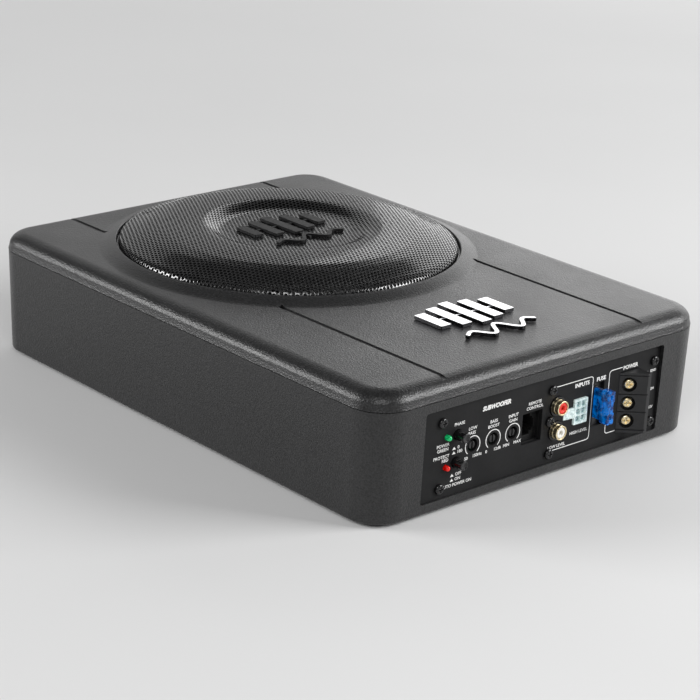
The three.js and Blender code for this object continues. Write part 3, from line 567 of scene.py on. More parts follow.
# ---------------------------------------------------------------- camera, lights and floor
# The camera stands off the front left corner, a little above the lid, as a product shot does.
CAMERA = {
    "azimuth": -42.287,
    "elevation": 22.089,
    "roll": 2.549,
    "distance": 1067.08,
    "target": (-165.149, -197.183, 75.647),
    "lens": 115.47,
    "shift": (-0.0013, 0.1122),
}


def build_camera():
    azimuth, elevation = math.radians(CAMERA["azimuth"]), math.radians(CAMERA["elevation"])
    back = Vector((
        math.sin(azimuth) * math.cos(elevation),
        -math.cos(azimuth) * math.cos(elevation),
        math.sin(elevation),
    ))
    data = bpy.data.cameras.new("camera")
    data.lens = CAMERA["lens"]
    data.sensor_width = 36
    data.shift_x, data.shift_y = CAMERA["shift"]
    data.clip_end = 50
    camera = bpy.data.objects.new("camera", data)
    bpy.context.scene.collection.objects.link(camera)
    target = Vector(CAMERA["target"]) + Vector((0, CASE_Y, CASE_Z))
    level = (-back).to_track_quat("-Z", "Y")
    turned = level.to_matrix() @ Matrix.Rotation(math.radians(CAMERA["roll"]), 3, "Z")
    camera.location = (target + back * CAMERA["distance"]) * MM
    camera.rotation_euler = turned.to_euler()
    bpy.context.scene.camera = camera


# Each light's place and aim in metres, its width and height, and its power in watts.
LIGHTS = {
    "back_softbox": ((1.15, 1.35, 0.72), (0, 0, 0.1), (2.6, 1.4), 7),
    "right_softbox": ((1.95, 0.55, 0.72), (0, 0, 0.1), (2.4, 1.4), 14),
    "front_key": ((1.0, -1.1, 0.7), (0, 0, 0.05), (0.9, 0.7), 24),
    "left_strip": ((-1.5, 1.3, 0.74), (0, 0, 0.05), (1.1, 0.7), 29),
    "corner_fill": ((-0.95, -1.05, 1.05), (0, 0, 0.05), (0.8, 0.7), 9),
}
FLOOR_REACH = 4000


def area_light(name, location, aim, size, power):
    data = bpy.data.lights.new(name, "AREA")
    data.shape = "RECTANGLE"
    data.size, data.size_y = size
    data.energy = power
    light = bpy.data.objects.new(name, data)
    bpy.context.scene.collection.objects.link(light)
    light.location = location
    light.rotation_euler = (Vector(aim) - Vector(location)).to_track_quat("-Z", "Y").to_euler()
    light.visible_camera = False


def build_studio():
    world = bpy.data.worlds.new("studio")
    bpy.context.scene.world = world
    world.use_nodes = True
    world.node_tree.nodes["Background"].inputs["Color"].default_value = (1, 1, 1, 1)
    world.node_tree.nodes["Background"].inputs["Strength"].default_value = 0.09
    for name, settings in LIGHTS.items():
        area_light(name, *settings)
    signs = ((-1, -1), (1, -1), (1, 1), (-1, 1))
    floor = mesh_piece("floor", [(x * FLOOR_REACH, y * FLOOR_REACH, 0) for x, y in signs], [(0, 1, 2, 3)])
    paper = Shader("floor_paper", Roughness=0.9)
    paper.tint(paper.noise(3, 2.0), (0.76, 0.76, 0.76), (0.78, 0.78, 0.78))
    floor.data.materials.append(paper.material)
    bpy.context.scene.view_settings.view_transform = "Standard"


# ---------------------------------------------------------------- case
def corner_places(prefix):
    """The plan centres of the four pieces named prefix_front_left and so on."""
    corners = ("front_left", "front_right", "back_left", "back_right")
    return {f"{prefix}_{corner}": middle(f"{prefix}_{corner}") for corner in corners}


CASE_SCREWS = corner_places("case_screw")
RUBBER_FEET = corner_places("rubber_foot")


def build_lower_case():
    base = CASE_Z
    foot = 1.5
    angles = np.linspace(0, math.pi / 2, 5)
    edge = [(DRAFT + foot - foot * math.sin(a), base + foot - foot * math.cos(a)) for a in angles]
    rim = SEAM_TOP
    body = case_loft("lower_case_shell", [*edge, (0.3, rim - 1), (0.35, rim)])
    hollow = case_loft("hollow", [(DRAFT + WALL, base + WALL), (WALL, rim + 1)])
    step = case_loft("step", [(1.6, base + 60), (1.6, rim + 1)])
    opening = rounded_outline((-WINDOW_HALF_WIDTH, WINDOW_LOW), (WINDOW_HALF_WIDTH, WINDOW_HIGH), 1.6)
    window = prism("window", opening, CASE_LOW.y - 2, PANEL_FACE + 5, "xz")
    seat = block(
        "seat",
        (PANEL_LOW.x - CLEARANCE, PANEL_FACE - CLEARANCE, base + WALL),
        (PANEL_HIGH.x + CLEARANCE, PANEL_FACE + 6, base + 60),
    )
    cut(body, hollow, step, window, seat)
    join(body, *[rod("boss", place, base + 2, base + 6, 7, 40) for place in CASE_SCREWS.values()])
    pockets = [rod("pocket", place, base - 1, base + 1, 9.3, 48) for place in RUBBER_FEET.values()]
    for place in CASE_SCREWS.values():
        pockets.append(rod("sink", place, base - 1, base + 2.4, 3.9, 40))
        pockets.append(rod("hole", place, base, base + 10, 2.0, 24))
    cut(body, *pockets)
    soften(body, 0.2)
    finish_piece(body, "case", "lower_case")


def ring_profile():
    """The raised ring: a soft rise from the lid, a rounded lip and a straight inner wall."""
    top = LID_TOP
    rise = []
    for share in np.linspace(0, 1, 9):
        radius = RING_FOOT_RADIUS + 1 - (RING_FOOT_RADIUS + 1 - RING_LIP_RADIUS - 0.8) * share
        rise.append((radius, top + (RING_RISE - 0.25) * (share ** 1.6 * (1.6 - 0.6 * share))))
    lip = arc((RING_LIP_RADIUS - 0.1, top + RING_RISE - 0.6), 0.6, 75, 178, 4)
    return [(0, top - 2), (RING_FOOT_RADIUS + 1, top - 2), *rise, *lip, (RING_INNER_RADIUS, top), (0, top)]


def lid_shoulder():
    """Inset and height along the shoulder: part of an ellipse from the crease up to the flat top."""
    start = 0.25
    half_width = SHOULDER_WIDTH / math.cos(start)
    half_height = (LID_TOP - CREASE) / (1 - math.sin(start))
    angles = np.array([start, start + 0.03, *np.linspace(start + 0.08, math.pi / 2, 22)])
    insets = SKIRT_INSET + half_width * (math.cos(start) - np.cos(angles))
    heights = LID_TOP - half_height * (1 - np.sin(angles))
    return list(zip(insets, heights))


def lid_grooves():
    """Cutters for the two long grooves. They follow the shoulder down and stop at the ring's foot."""
    groove_x, half, depth = 74.5, 1.4, 1.15
    reach = math.sqrt((RING_FOOT_RADIUS - 1.5) ** 2 - groove_x ** 2)
    shoulder = [(inset, height) for inset, height in lid_shoulder() if inset > 4.6]
    slope = np.gradient(np.array(shoulder), axis=0)
    slope /= np.hypot(*slope.T)[:, None]
    fades = np.clip(np.linspace(0, 1.6, len(shoulder)), 0, 1) * depth
    floor = [
        (inset + fade * dz, height - fade * dx)
        for (inset, height), (dx, dz), fade in zip(shoulder, slope, fades)
    ]
    cutters = []
    for end, stop in ((-1, WOOFER_Y - reach), (1, WOOFER_Y + reach)):
        edge = CASE_Y + end * HALF_LENGTH
        outline = [(edge - end * inset, height) for inset, height in floor]
        outline += [(stop, LID_TOP - depth), (stop, LID_TOP + 6), (outline[0][0], LID_TOP + 6)]
        for x in (-groove_x, groove_x):
            cutters.append(prism("groove", outline, x - half, x + half, "yz"))
    return cutters


def build_top_cover():
    low = SEAM_BOTTOM_OF_LID
    skirt = [(0.35, low), (0.15, low + 0.25), (0.6, CREASE - 2.4), (0.9, CREASE - 1.0)]
    cover = case_loft("top_cover_shell", [*skirt, *lid_shoulder()])
    ring = lathe("ring", ring_profile(), (0, WOOFER_Y, 0), 192)
    join(cover, ring)
    wall = WALL + 0.2
    hollow = case_loft("hollow", [(wall, low - 1), (wall, CREASE - 1), (WALL + 7, LID_TOP - WALL)])
    mouth = rod("mouth", (0, WOOFER_Y, 0), LID_TOP - 10, LID_TOP + 10, MOUTH_RADIUS, 128)
    cut(cover, hollow, mouth, *lid_grooves())
    join(cover, *[rod("post", place, CASE_Z + 6.3, LID_TOP - 2, 5) for place in CASE_SCREWS.values()])
    cut(cover, *[rod("pilot", place, 0, CASE_Z + 20, 1.9, 20) for place in CASE_SCREWS.values()])
    soften(cover, 0.4, angle=38)
    finish_piece(cover, "case", "top_cover")


def drive_recess(at, reach, depth, width, axis, facing):
    """Two thin crossed blocks that cut a cross-head recess, facing -Z or -Y."""
    tools = []
    for u, v in ((reach, width / 2), (width / 2, reach)):
        low, high = ((at[0] + sign * u, at[1 if axis == "z" else 2] + sign * v) for sign in (-1, 1))
        if axis == "z":
            tools.append(block("recess", (*low, facing - 1), (*high, facing + depth)))
        else:
            tools.append(block("recess", (low[0], facing - 1, low[1]), (high[0], facing + depth, high[1])))
    return tools


def build_case_screws():
    for name, place in CASE_SCREWS.items():
        low, high = span(name)
        face = low.z
        profile = [(0, face), (2.9, face), *arc((2.9, face + 0.6), 0.6, -90, 0, 3), (3.5, face + 1.8),
                   (1.7, face + 1.8), (1.6, face + 2.1), (1.6, high.z - 2), (0, high.z)]
        recess = drive_recess(place, 2.1, 1.2, 0.9, "z", face)
        finish_piece(turned(f"{name}_body", profile, place, "z", 36, 0.1, recess), "screw", name)


def build_feet():
    for name, place in RUBBER_FEET.items():
        low, high = span(name)
        radius = (high.x - low.x) / 2
        profile = [(0, low.z + 0.25), (radius - 3.2, low.z + 0.25), (radius - 2.6, low.z),
                   (radius - 1.0, low.z), *arc((radius - 0.9, low.z + 0.9), 0.9, -90, 0, 5),
                   (radius, high.z - 0.2), (radius - 0.2, high.z), (0, high.z)]
        finish_piece(turned(f"{name}_pad", profile, place, "z", 64), "rubber", name)


# ---------------------------------------------------------------- grille
GRILLE_PITCH = 2.53
GRILLE_HOLE_RADIUS = 1.1  # from the middle of a six-sided hole to its corner
GRILLE_THICKNESS = 0.8
GRILLE_SPLIT_RADIUS = 55.0
CROWN = GRILLE_HIGH.z


def grille_section():
    """The pressed profile as dense (radius, height) points from the middle to the rim."""
    knots = [
        (0, -4.4), (20, -4.4), (38.5, -4.4), (43, -3.6), (47, -1.6), (50.5, -0.4), (54, 0), (61, -0.05),
        (68, -0.3), (77, -1.1), (84, -2.8), (90, -5.1), (95, -7.0), (98.2, -8.0), (99.9, -8.9),
        (100.9, -10.6), (101.6, -13.9),
    ]
    known_r, known_z = np.array(knots, float).T
    chord = np.concatenate([[0], np.cumsum(np.hypot(np.diff(known_r), np.diff(known_z)))])
    fine = np.linspace(0, chord[-1], 900)
    section = np.stack([np.interp(fine, chord, known_r), np.interp(fine, chord, known_z)], 1)
    window = 27
    kernel = np.ones(window) / window
    padded = np.pad(section, ((window // 2, window // 2), (0, 0)), mode="reflect", reflect_type="odd")
    smooth = np.stack([np.convolve(padded[:, i], kernel, "valid") for i in (0, 1)], 1)
    smooth[:, 1] += CROWN
    return smooth


def grille_surface():
    """Functions that map a flat radius on the unpressed sheet to the pressed point and its normal."""
    section = grille_section()
    arc_length = np.concatenate([[0], np.cumsum(np.hypot(*np.diff(section, axis=0).T))])
    slope = np.gradient(section, arc_length, axis=0)

    def place(flat):
        radius = np.hypot(flat[:, 0], flat[:, 1])
        safe = np.maximum(radius, 1e-9)
        outward = flat / safe[:, None]
        r, z = (np.interp(radius, arc_length, section[:, i]) for i in (0, 1))
        dr, dz = (np.interp(radius, arc_length, slope[:, i]) for i in (0, 1))
        steep = np.hypot(dr, dz)
        point = np.column_stack([outward * r[:, None], z])
        point[:, 1] += WOOFER_Y
        normal = np.column_stack([outward * (-dz / steep)[:, None], dr / steep])
        return point, normal

    return place, arc_length[-1]


def perforated_sheet():
    """Flat hexagonal cells with a six-sided hole each: points, hole rings and cell rings."""
    place, reach = grille_surface()
    pitch = GRILLE_PITCH
    row_height = pitch * math.sqrt(3) / 2
    rows = int(reach / row_height) + 2
    corner_angles = np.radians(30 + 60 * np.arange(6))
    hole_angles = np.radians(60 * np.arange(6))
    corners = np.column_stack([np.cos(corner_angles), np.sin(corner_angles)]) * pitch / math.sqrt(3)
    hole = np.column_stack([np.cos(hole_angles), np.sin(hole_angles)]) * GRILLE_HOLE_RADIUS
    index = {}
    flat = []

    def point(x, y):
        radius = math.hypot(x, y)
        if radius > reach:
            x, y = x * reach / radius, y * reach / radius
        key = (round(x, 3), round(y, 3))
        if key not in index:
            index[key] = len(flat)
            flat.append((x, y))
        return index[key]

    cells = []
    for row in range(-rows, rows + 1):
        shift = pitch / 2 if row % 2 else 0.0
        for column in range(-rows - 2, rows + 3):
            centre = np.array([column * pitch + shift, row * row_height])
            distance = np.hypot(*centre)
            if distance > reach + pitch / math.sqrt(3):
                continue
            if np.hypot(*(centre + corners).T).min() >= reach - 0.02:
                continue
            ring = [point(*(centre + corner)) for corner in corners]
            has_hole = distance < reach - GRILLE_HOLE_RADIUS - 0.4
            inner = [point(*(centre + edge)) for edge in hole] if has_hole else None
            cells.append((ring, inner))
    return place, np.array(flat), cells


def build_grille():
    """The pressed sheet, as a middle part inside the dish's edge and an outer part."""
    place, flat, cells = perforated_sheet()
    top, normal = place(flat)
    bottom = top - normal * GRILLE_THICKNESS
    inside = [np.hypot(*flat[ring].mean(0)) < GRILLE_SPLIT_RADIUS for ring, _ in cells]
    for name, wanted in (("grille_middle", True), ("grille_outer", False)):
        chosen = [cell for cell, is_inside in zip(cells, inside) if is_inside == wanted]
        sheet = mesh_piece(name, np.vstack([top, bottom]), sheet_faces(chosen, len(flat)))
        close_edges(sheet)
        sheet.data.set_sharp_from_angle(angle=math.radians(40))
        finish_piece(sheet, "grille", "grille")
    build_grille_hem()


def sheet_faces(cells, count):
    """Faces of the upper skin, the lower skin and the hole walls."""
    faces = []
    for ring, inner in cells:
        if inner is None:
            outline = list(dict.fromkeys(ring))
            if len(outline) > 2:
                faces.append(outline)
                faces.append([i + count for i in reversed(outline)])
            continue
        for k in range(6):
            after = (k + 1) % 6
            web = [ring[k], inner[after], inner[k]]
            rib = [ring[k], ring[after], inner[after]]
            faces.append(web)
            faces.append(rib)
            faces.append([i + count for i in reversed(web)])
            faces.append([i + count for i in reversed(rib)])
            faces.append([inner[k], inner[after], inner[after] + count, inner[k] + count])
    return faces


def close_edges(sheet):
    """Joins the upper and lower skins along their open edges."""
    work = bmesh.new()
    work.from_mesh(sheet.data)
    loose = [vertex for vertex in work.verts if not vertex.link_faces]
    bmesh.ops.delete(work, geom=loose, context="VERTS")
    open_edges = [edge for edge in work.edges if edge.is_boundary]
    bmesh.ops.bridge_loops(work, edges=open_edges)
    bmesh.ops.recalc_face_normals(work, faces=work.faces)
    work.to_mesh(sheet.data)
    work.free()
    for polygon in sheet.data.polygons:
        polygon.use_smooth = True


def build_grille_hem():
    """The folded edge that stands in the ring."""
    outer = GRILLE_HIGH.x
    low = GRILLE_LOW.z
    high = CROWN - 12.6
    profile = [(outer - 1.5, low), *arc((outer - 0.4, low + 0.4), 0.4, -90, 0, 3), (outer, high - 0.8),
               *arc((outer - 0.5, high - 0.6), 0.5, 0, 120, 4), (outer - 1.5, high - 0.9)]
    finish_piece(turned("grille_hem", profile, (0, WOOFER_Y, 0), "z", 192), "grille")


# ---------------------------------------------------------------- badges
# Length of each bar as a share of the longest.
BAR_SHARES = {"silver": (0.61, 0.83, 1.0, 0.83, 0.61), "black": (0.53, 0.79, 1.0, 0.79, 0.53)}


def badge_bars(name, centre, level, lengths, pitch, bar_width):
    """Bars of different lengths on a thin line, between two levels."""
    reach = (len(lengths) - 1) / 2 * pitch
    line_half = bar_width / 12
    x, y = centre[:2]
    line_top = level[0] + (level[1] - level[0]) * 0.6
    badge = block(name, (x - reach, y - line_half, level[0]), (x + reach, y + line_half, line_top))
    bars = []
    for number, length in enumerate(lengths):
        left = x - reach + number * pitch - bar_width / 2
        outline = rounded_outline((left, y - length / 2), (left + bar_width, y + length / 2), 0.5, 4)
        bars.append(prism("bar", outline, *level))
    return join(badge, *bars)


def badge_wave(name, centre, level, half_span, swing, half_width, turns=2.5, steps=120):
    """A strip that follows a sine wave and fades towards its ends, between two levels."""
    along = np.linspace(0, 1, steps + 1)
    swell = np.sqrt(np.maximum(np.sin(math.pi * along), 0))
    line = np.column_stack([(2 * along - 1) * half_span, swing * swell * np.sin(2 * math.pi * turns * along)])
    ahead = np.gradient(line, axis=0)
    ahead /= np.hypot(*ahead.T)[:, None]
    side = np.column_stack([-ahead[:, 1], ahead[:, 0]]) * half_width
    line += np.array(centre[:2])
    outline = [*(line - side), *(line + side)[::-1]]
    return prism(name, [tuple(point) for point in outline], *level)


def build_silver_badge():
    """The bars and the wave on the lid in front of the grille."""
    low, high = span("emblem_bars")
    lengths = [(high.y - low.y) * share for share in BAR_SHARES["silver"]]
    bars = badge_bars("bar_badge", (low + high) / 2, (low.z, high.z), lengths, 12.0, 7.4)
    finish_piece(soften(bars, 0.3, 3), "trim", "emblem_bars")
    low, high = span("emblem_wave")
    wave = badge_wave("wave_badge", (low + high) / 2, (low.z, high.z), 26.0, 6.0, 1.3)
    finish_piece(soften(wave, 0.22, 3), "trim", "emblem_wave")


def build_dish_badge():
    """The black bars and wave in the grille's dish, with a stem that joins them."""
    low, high = span("grille_badge")
    level = (low.z, high.z)
    longest = 34.0
    bars_y = high.y - longest / 2
    wave_y = bars_y - 27.0
    lengths = [longest * share for share in BAR_SHARES["black"]]
    dish = badge_bars("dish_badge", (0, bars_y), level, lengths, 12.0, 6.4)
    stem = block("stem", (-0.7, wave_y, level[0]), (0.7, bars_y - 16, level[0] + (level[1] - level[0]) * 0.6))
    join(dish, stem, badge_wave("wave", (0, wave_y), level, 25.0, 4.6, 1.2))
    finish_piece(soften(dish, 0.25, 3), "matte_black", "grille_badge")


# ---------------------------------------------------------------- panel plate and legends
PANEL_SCREWS = [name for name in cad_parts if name.startswith("panel_screw_")]
POTS = ("low_pass_shaft", "bass_boost_shaft", "input_gain_shaft")
BUTTONS = ("phase_button", "auto_on_button")
LAMPS = ("power_lamp", "protect_lamp")
RCA_COLOURS = ("red", "white")
POT_HOLE_RADIUS = 3.6
RCA_COLLAR_RADIUS = 5.5

JACK_BACK = span("remote_jack")[1].y
JACK_X = (-17.0, -2.0)
JACK_Z = (CASE_Z + 21.3, CASE_Z + 39.2)
TERMINAL_LOW, TERMINAL_HIGH = span("terminal_block")
HEADER_LOW, HEADER_HIGH = span("high_level_header")
HEADER_BODY_X = HEADER_HIGH.x - 10.3
LATCH_Z = (CASE_Z + 28.2, CASE_Z + 34.2)
FUSE_LOW, FUSE_HIGH = span("blade_fuse")
FUSE_X = (FUSE_LOW.x + FUSE_HIGH.x) / 2
BLADE_STARTS = (FUSE_LOW.z + 0.5, FUSE_HIGH.z - 5.7)
BLADE_WIDTH = 5.2
FUSE_SLOT_X = (38.3, 46.1)
FUSE_SLOT_Z = (CASE_Z + 19.0, CASE_Z + 44.6)


def panel_hole(x, z, radius):
    return rod("hole", (x, 0, z), PANEL_FACE - 2, PANEL_BACK + 2, radius, 40, "y")


def panel_opening(x, z, gap=CLEARANCE, corner=0.4):
    """A cutter for a rounded opening, wider than the part in it by the gap all round."""
    outline = rounded_outline((x[0] - gap, z[0] - gap), (x[1] + gap, z[1] + gap), corner, 4)
    return prism("opening", outline, PANEL_FACE - 2, PANEL_BACK + 2, "xz")


def build_panel():
    outline = rounded_outline((PANEL_LOW.x, PANEL_LOW.z), (PANEL_HIGH.x, PANEL_HIGH.z), 1.5)
    plate = prism("panel_plate", outline, PANEL_FACE, PANEL_BACK, "xz")
    holes = []
    barrels = [f"rca_barrel_{colour}" for colour in RCA_COLOURS]
    sizes = [(LAMPS, 1.8), (BUTTONS, 3.1), (POTS, POT_HOLE_RADIUS), (PANEL_SCREWS, 1.8),
             (barrels, RCA_COLLAR_RADIUS + CLEARANCE)]
    for nodes, radius in sizes:
        for node in nodes:
            place = middle(node)
            holes.append(panel_hole(place.x, place.z, radius))
    holes.append(panel_opening(JACK_X, JACK_Z, 0, 0.3))
    holes.append(panel_opening((HEADER_BODY_X, HEADER_HIGH.x), (HEADER_LOW.z, HEADER_HIGH.z)))
    holes.append(panel_opening((HEADER_LOW.x, HEADER_BODY_X - CLEARANCE), LATCH_Z))
    holes.append(panel_opening(FUSE_SLOT_X, FUSE_SLOT_Z, 0))
    holes.append(panel_opening((TERMINAL_LOW.x, TERMINAL_HIGH.x), (TERMINAL_LOW.z, TERMINAL_HIGH.z)))
    cut(plate, *holes)
    finish_piece(soften(plate, 0.15), "panel", "control_panel")


INK_RISE = 0.06


def print_word(word, x, z, height, bold=0.02, slant=0.0, stretch=1.0):
    """Flat lettering on the panel face, centred at x and z, as a thin mesh."""
    data = bpy.data.curves.new("word", "FONT")
    data.body = word
    data.size = height * 1.38
    data.shear = slant
    data.offset = bold
    data.align_x = "CENTER"
    data.align_y = "CENTER"
    data.extrude = INK_RISE / 2
    data.resolution_u = 3
    text = bpy.data.objects.new("word", data)
    bpy.context.scene.collection.objects.link(text)
    bpy.context.view_layer.update()
    graph = bpy.context.evaluated_depsgraph_get()
    mesh = bpy.data.meshes.new_from_object(text.evaluated_get(graph), depsgraph=graph)
    discard(text)
    points = np.array([v.co for v in mesh.vertices], float).reshape(-1, 3)
    faces = [tuple(p.vertices) for p in mesh.polygons]
    depth = PANEL_FACE - points[:, 2] - INK_RISE / 2
    return np.column_stack([x + points[:, 0] * stretch, depth, z + points[:, 1]]), faces


def print_stripe(path, width):
    """A painted line along a path of (x, z) points."""
    path = np.array(path, float)
    direction = np.gradient(path, axis=0)
    direction /= np.hypot(*direction.T)[:, None]
    side = np.column_stack([-direction[:, 1], direction[:, 0]]) * width / 2
    left, right = path + side, path - side
    count = len(path)
    points = []
    for level in (PANEL_FACE - INK_RISE, PANEL_FACE):
        for edge in (left, right):
            points += [(x, level, z) for x, z in edge]
    faces = []
    for i in range(count - 1):
        a, b, c, d = (k * count + i for k in range(4))
        faces += [(a, a + 1, b + 1, b), (c, d, d + 1, c + 1), (a, c, c + 1, a + 1), (b, b + 1, d + 1, d)]
    faces += [(0, count, 3 * count, 2 * count)]
    last = count - 1
    faces += [(last, last + 2 * count, last + 3 * count, last + count)]
    return np.array(points), faces


def corner_path(points, radius=2.2, steps=6):
    """A path of straight runs with rounded corners."""
    path = [points[0]]
    for before, corner, after in zip(points, points[1:], points[2:]):
        before, corner, after = (np.array(p, float) for p in (before, corner, after))
        enter = corner + (before - corner) / np.linalg.norm(before - corner) * radius
        leave = corner + (after - corner) / np.linalg.norm(after - corner) * radius
        for share in np.linspace(0, 1, steps):
            point = (1 - share) ** 2 * enter + 2 * share * (1 - share) * corner + share ** 2 * leave
            path.append(tuple(point))
    path.append(points[-1])
    return path


def triangle_mark(x, z, width, height):
    """A small arrowhead that points up."""
    corners = [(x - width / 2, z - height / 2), (x + width / 2, z - height / 2), (x, z + height / 2)]
    solid = [(px, level, pz) for level in (PANEL_FACE - INK_RISE, PANEL_FACE) for px, pz in corners]
    faces = [(0, 1, 2), (5, 4, 3), (0, 3, 4, 1), (1, 4, 5, 2), (2, 5, 3, 0)]
    return np.array(solid), faces


SMALL_PRINT = (1.8, 0.035, 0.0, 1.05)
HEADING = (2.3, 0.1, 0.0, 1.08)
TERMINAL_LABELS = (("GND", 42.0), ("REM", 31.0), ("+12V", 19.8))


def panel_words():
    """Every printed word with its place, worked out from the control it names."""
    words = []

    def near(node, *entries):
        place = middle(node)
        for word, dx, dz in entries:
            words.append((word, place.x + dx, place.z + dz, *SMALL_PRINT))

    near("phase_button", ("PHASE", 1.1, 5.9), ("0", 1.2, -7.2), ("180", 2.2, -9.7))
    near("auto_on_button", ("OFF", 2.6, -7.1), ("ON", 2.2, -9.8), ("AUTO POWER ON", 1.6, -12.8))
    near("power_lamp", ("POWER", -2.6, -4.2), ("GREEN", -2.6, -6.7))
    near("protect_lamp", ("PROTECT", -3.4, 6.3), ("RED", -0.6, 4.0))
    near("low_pass_shaft", ("LOW", -0.6, 9.8), ("PASS", -1.0, 7.2), ("50", -4.4, -6.6), ("150Hz", 3.6, -6.2))
    near("bass_boost_shaft", ("BASS", -0.1, 10.1), ("BOOST", -0.1, 7.4))
    near("bass_boost_shaft", ("0", -4.6, -6.3), ("12dB", 3.5, -6.2))
    near("input_gain_shaft", ("INPUT", -0.2, 9.9), ("GAIN", -0.2, 7.2))
    near("input_gain_shaft", ("MIN", -4.4, -6.1), ("MAX", 3.9, -5.9))
    near("rca_barrel_white", ("LOW LEVEL", 1.7, -9.4))
    jack_x = sum(JACK_X) / 2 + 1.3
    words.append(("REMOTE", jack_x, JACK_Z[1] + 4.9, *SMALL_PRINT))
    words.append(("CONTROL", jack_x, JACK_Z[1] + 2.3, *SMALL_PRINT))
    words.append(("HIGH LEVEL", HEADER_BODY_X + 5.4, HEADER_LOW.z - 5.0, *SMALL_PRINT))
    words.append(("SUBWOOFER", -37.5, CASE_Z + 49.2, 2.5, 0.16, 0.25))
    words.append(("INPUTS", HEADER_BODY_X + 5.6, HEADER_HIGH.z + 7.9, *HEADING))
    words.append(("FUSE", FUSE_X + 1.7, FUSE_HIGH.z + 4.3, *HEADING))
    words.append(("POWER", TERMINAL_LOW.x + 8.2, TERMINAL_HIGH.z + 2.2, *HEADING))
    for word, rise in TERMINAL_LABELS:
        words.append((word, TERMINAL_HIGH.x + 13.2, CASE_Z + rise, 1.6, 0.04))
    return words


def panel_stripes():
    """Printed frames round the inputs and the power terminals, and the dial arcs."""
    line = 0.45
    inputs = [(7.1, 49.3), (36.7, 49.3), (36.7, 12.5), (7.6, 12.5)]
    power = [(60.0, 49.4), (49.8, 49.4), (49.8, 12.3), (58.0, 12.3)]
    stripes = []
    for points in (inputs, power):
        raised = [(x, CASE_Z + z) for x, z in points]
        stripes.append(print_stripe(corner_path(raised), line))
    for node in POTS:
        place = middle(node)
        stripes.append(print_stripe(arc((place.x, place.z), 5.3, -50, 230, 40), 0.5))
    return stripes


def build_legends():
    """All the white print in one thin piece."""
    prints = [print_word(*word) for word in panel_words()] + panel_stripes()
    for node, drops in (("phase_button", (-7.2, -9.7)), ("auto_on_button", (-7.1, -9.8))):
        place = middle(node)
        for drop in drops:
            prints.append(triangle_mark(place.x - 2.0, place.z + drop, 2.6, 1.6))
    for _, rise in TERMINAL_LABELS:
        prints.append(triangle_mark(TERMINAL_HIGH.x + 8.6, CASE_Z + rise, 1.1, 1.1))
    points, faces, start = [], [], 0
    for placed, some in prints:
        points.append(placed)
        faces += [[i + start for i in face] for face in some]
        start += len(placed)
    legends = mesh_piece("panel_print", np.vstack(points), faces, smooth=False)
    finish_piece(legends, "ink")


# ---------------------------------------------------------------- panel hardware
def build_panel_screws():
    for name in PANEL_SCREWS:
        low, high = span(name)
        place = middle(name)
        face, seat = low.y, PANEL_FACE - 0.05
        radius = (high.x - low.x) / 2
        profile = [(0, face), (radius - 1.2, face), *arc((radius - 1.1, face + 1.1), 1.1, -90, 0, 6),
                   (radius, seat), (1.5, seat), (1.5, high.y - 1.5), (0, high.y)]
        recess = drive_recess(place, 1.7, 1.0, 0.75, "y", face)
        finish_piece(turned(f"{name}_body", profile, place, "y", 40, 0.1, recess), "screw", name)


def build_lamps():
    for name, colour in zip(LAMPS, ("green_lamp", "red_lamp")):
        low, high = span(name)
        radius = 1.5
        angles = np.linspace(0, math.pi / 2, 10)
        dome = [(radius * math.sin(a), low.y + radius * (1 - math.cos(a))) for a in angles]
        flange, start, end = radius + 0.3, PANEL_FACE + 2.4, PANEL_FACE + 3.4
        profile = [*dome, (radius, start), (flange, start), (flange, end), (radius, end), (radius, high.y),
                   (0, high.y)]
        finish_piece(turned(f"{name}_lens", profile, middle(name), "y", 36), colour, name)


def build_buttons():
    for name in BUTTONS:
        low, high = span(name)
        radius = 2.7
        profile = [(0, low.y + 0.3), (radius - 0.95, low.y + 0.22), (radius - 0.7, low.y),
                   *arc((radius - 0.4, low.y + 0.4), 0.4, -90, 0, 5), (radius, high.y), (0, high.y)]
        button = turned(f"{name}_knob", profile, middle(name), "y", 44)
        finish_piece(button, "gloss_black", name, body=f"{name}_cap")


def build_pots():
    for name in POTS:
        low, high = span(name)
        place = middle(name)
        radius = 2.3
        profile = [(0, low.y), (radius - 0.3, low.y), (radius, low.y + 0.3), (radius, high.y), (0, high.y)]
        slot = bar("slot", place.x, place.z, 0.5, 3, low.y - 1, low.y + 1.2)
        shaft = turned(f"{name}_stem", profile, place, "y", 40, 0.12, [slot])
        finish_piece(shaft, "black", name, body=name.replace("_shaft", "_pot"))


def build_remote_jack():
    """A modular socket: shell, plug cavity with its latch notch, and spring contacts."""
    side = 2.2
    back = JACK_BACK
    front = PANEL_FACE + 4.5
    mouth = PANEL_BACK - 2
    (left, right), (low, high) = JACK_X, JACK_Z
    start = (left - side, PANEL_BACK + CLEARANCE, low - side)
    shell = block("jack_shell", start, (right + side, back, high + side))
    throat = block("throat", (left + 0.2, mouth, low + 0.2), (right - 0.2, front, high - 0.2))
    x, z = (left + right) / 2 - 1.2, (low + high) / 2
    tools = [throat, bar("cavity", x, z, 4, 6, mouth, back - 2)]
    for reach, half in ((1.6, 4.2), (3.0, 2.6)):
        tools.append(block("notch", (x + 3.5, mouth, z - half), (x + 4 + reach, back - 4, z + half)))
    cut(shell, *tools)
    finish_piece(soften(shell, 0.15), "matte_black", "remote_jack")
    wires = []
    for level in z + (np.arange(6) - 2.5) * 1.27:
        wires.append(bar("contact", x - 3.65, level, 0.25, 0.2, front + 1.5, back - 2.1))
    wires[0].name = "jack_contacts"
    finish_piece(join(*wires), "gold")


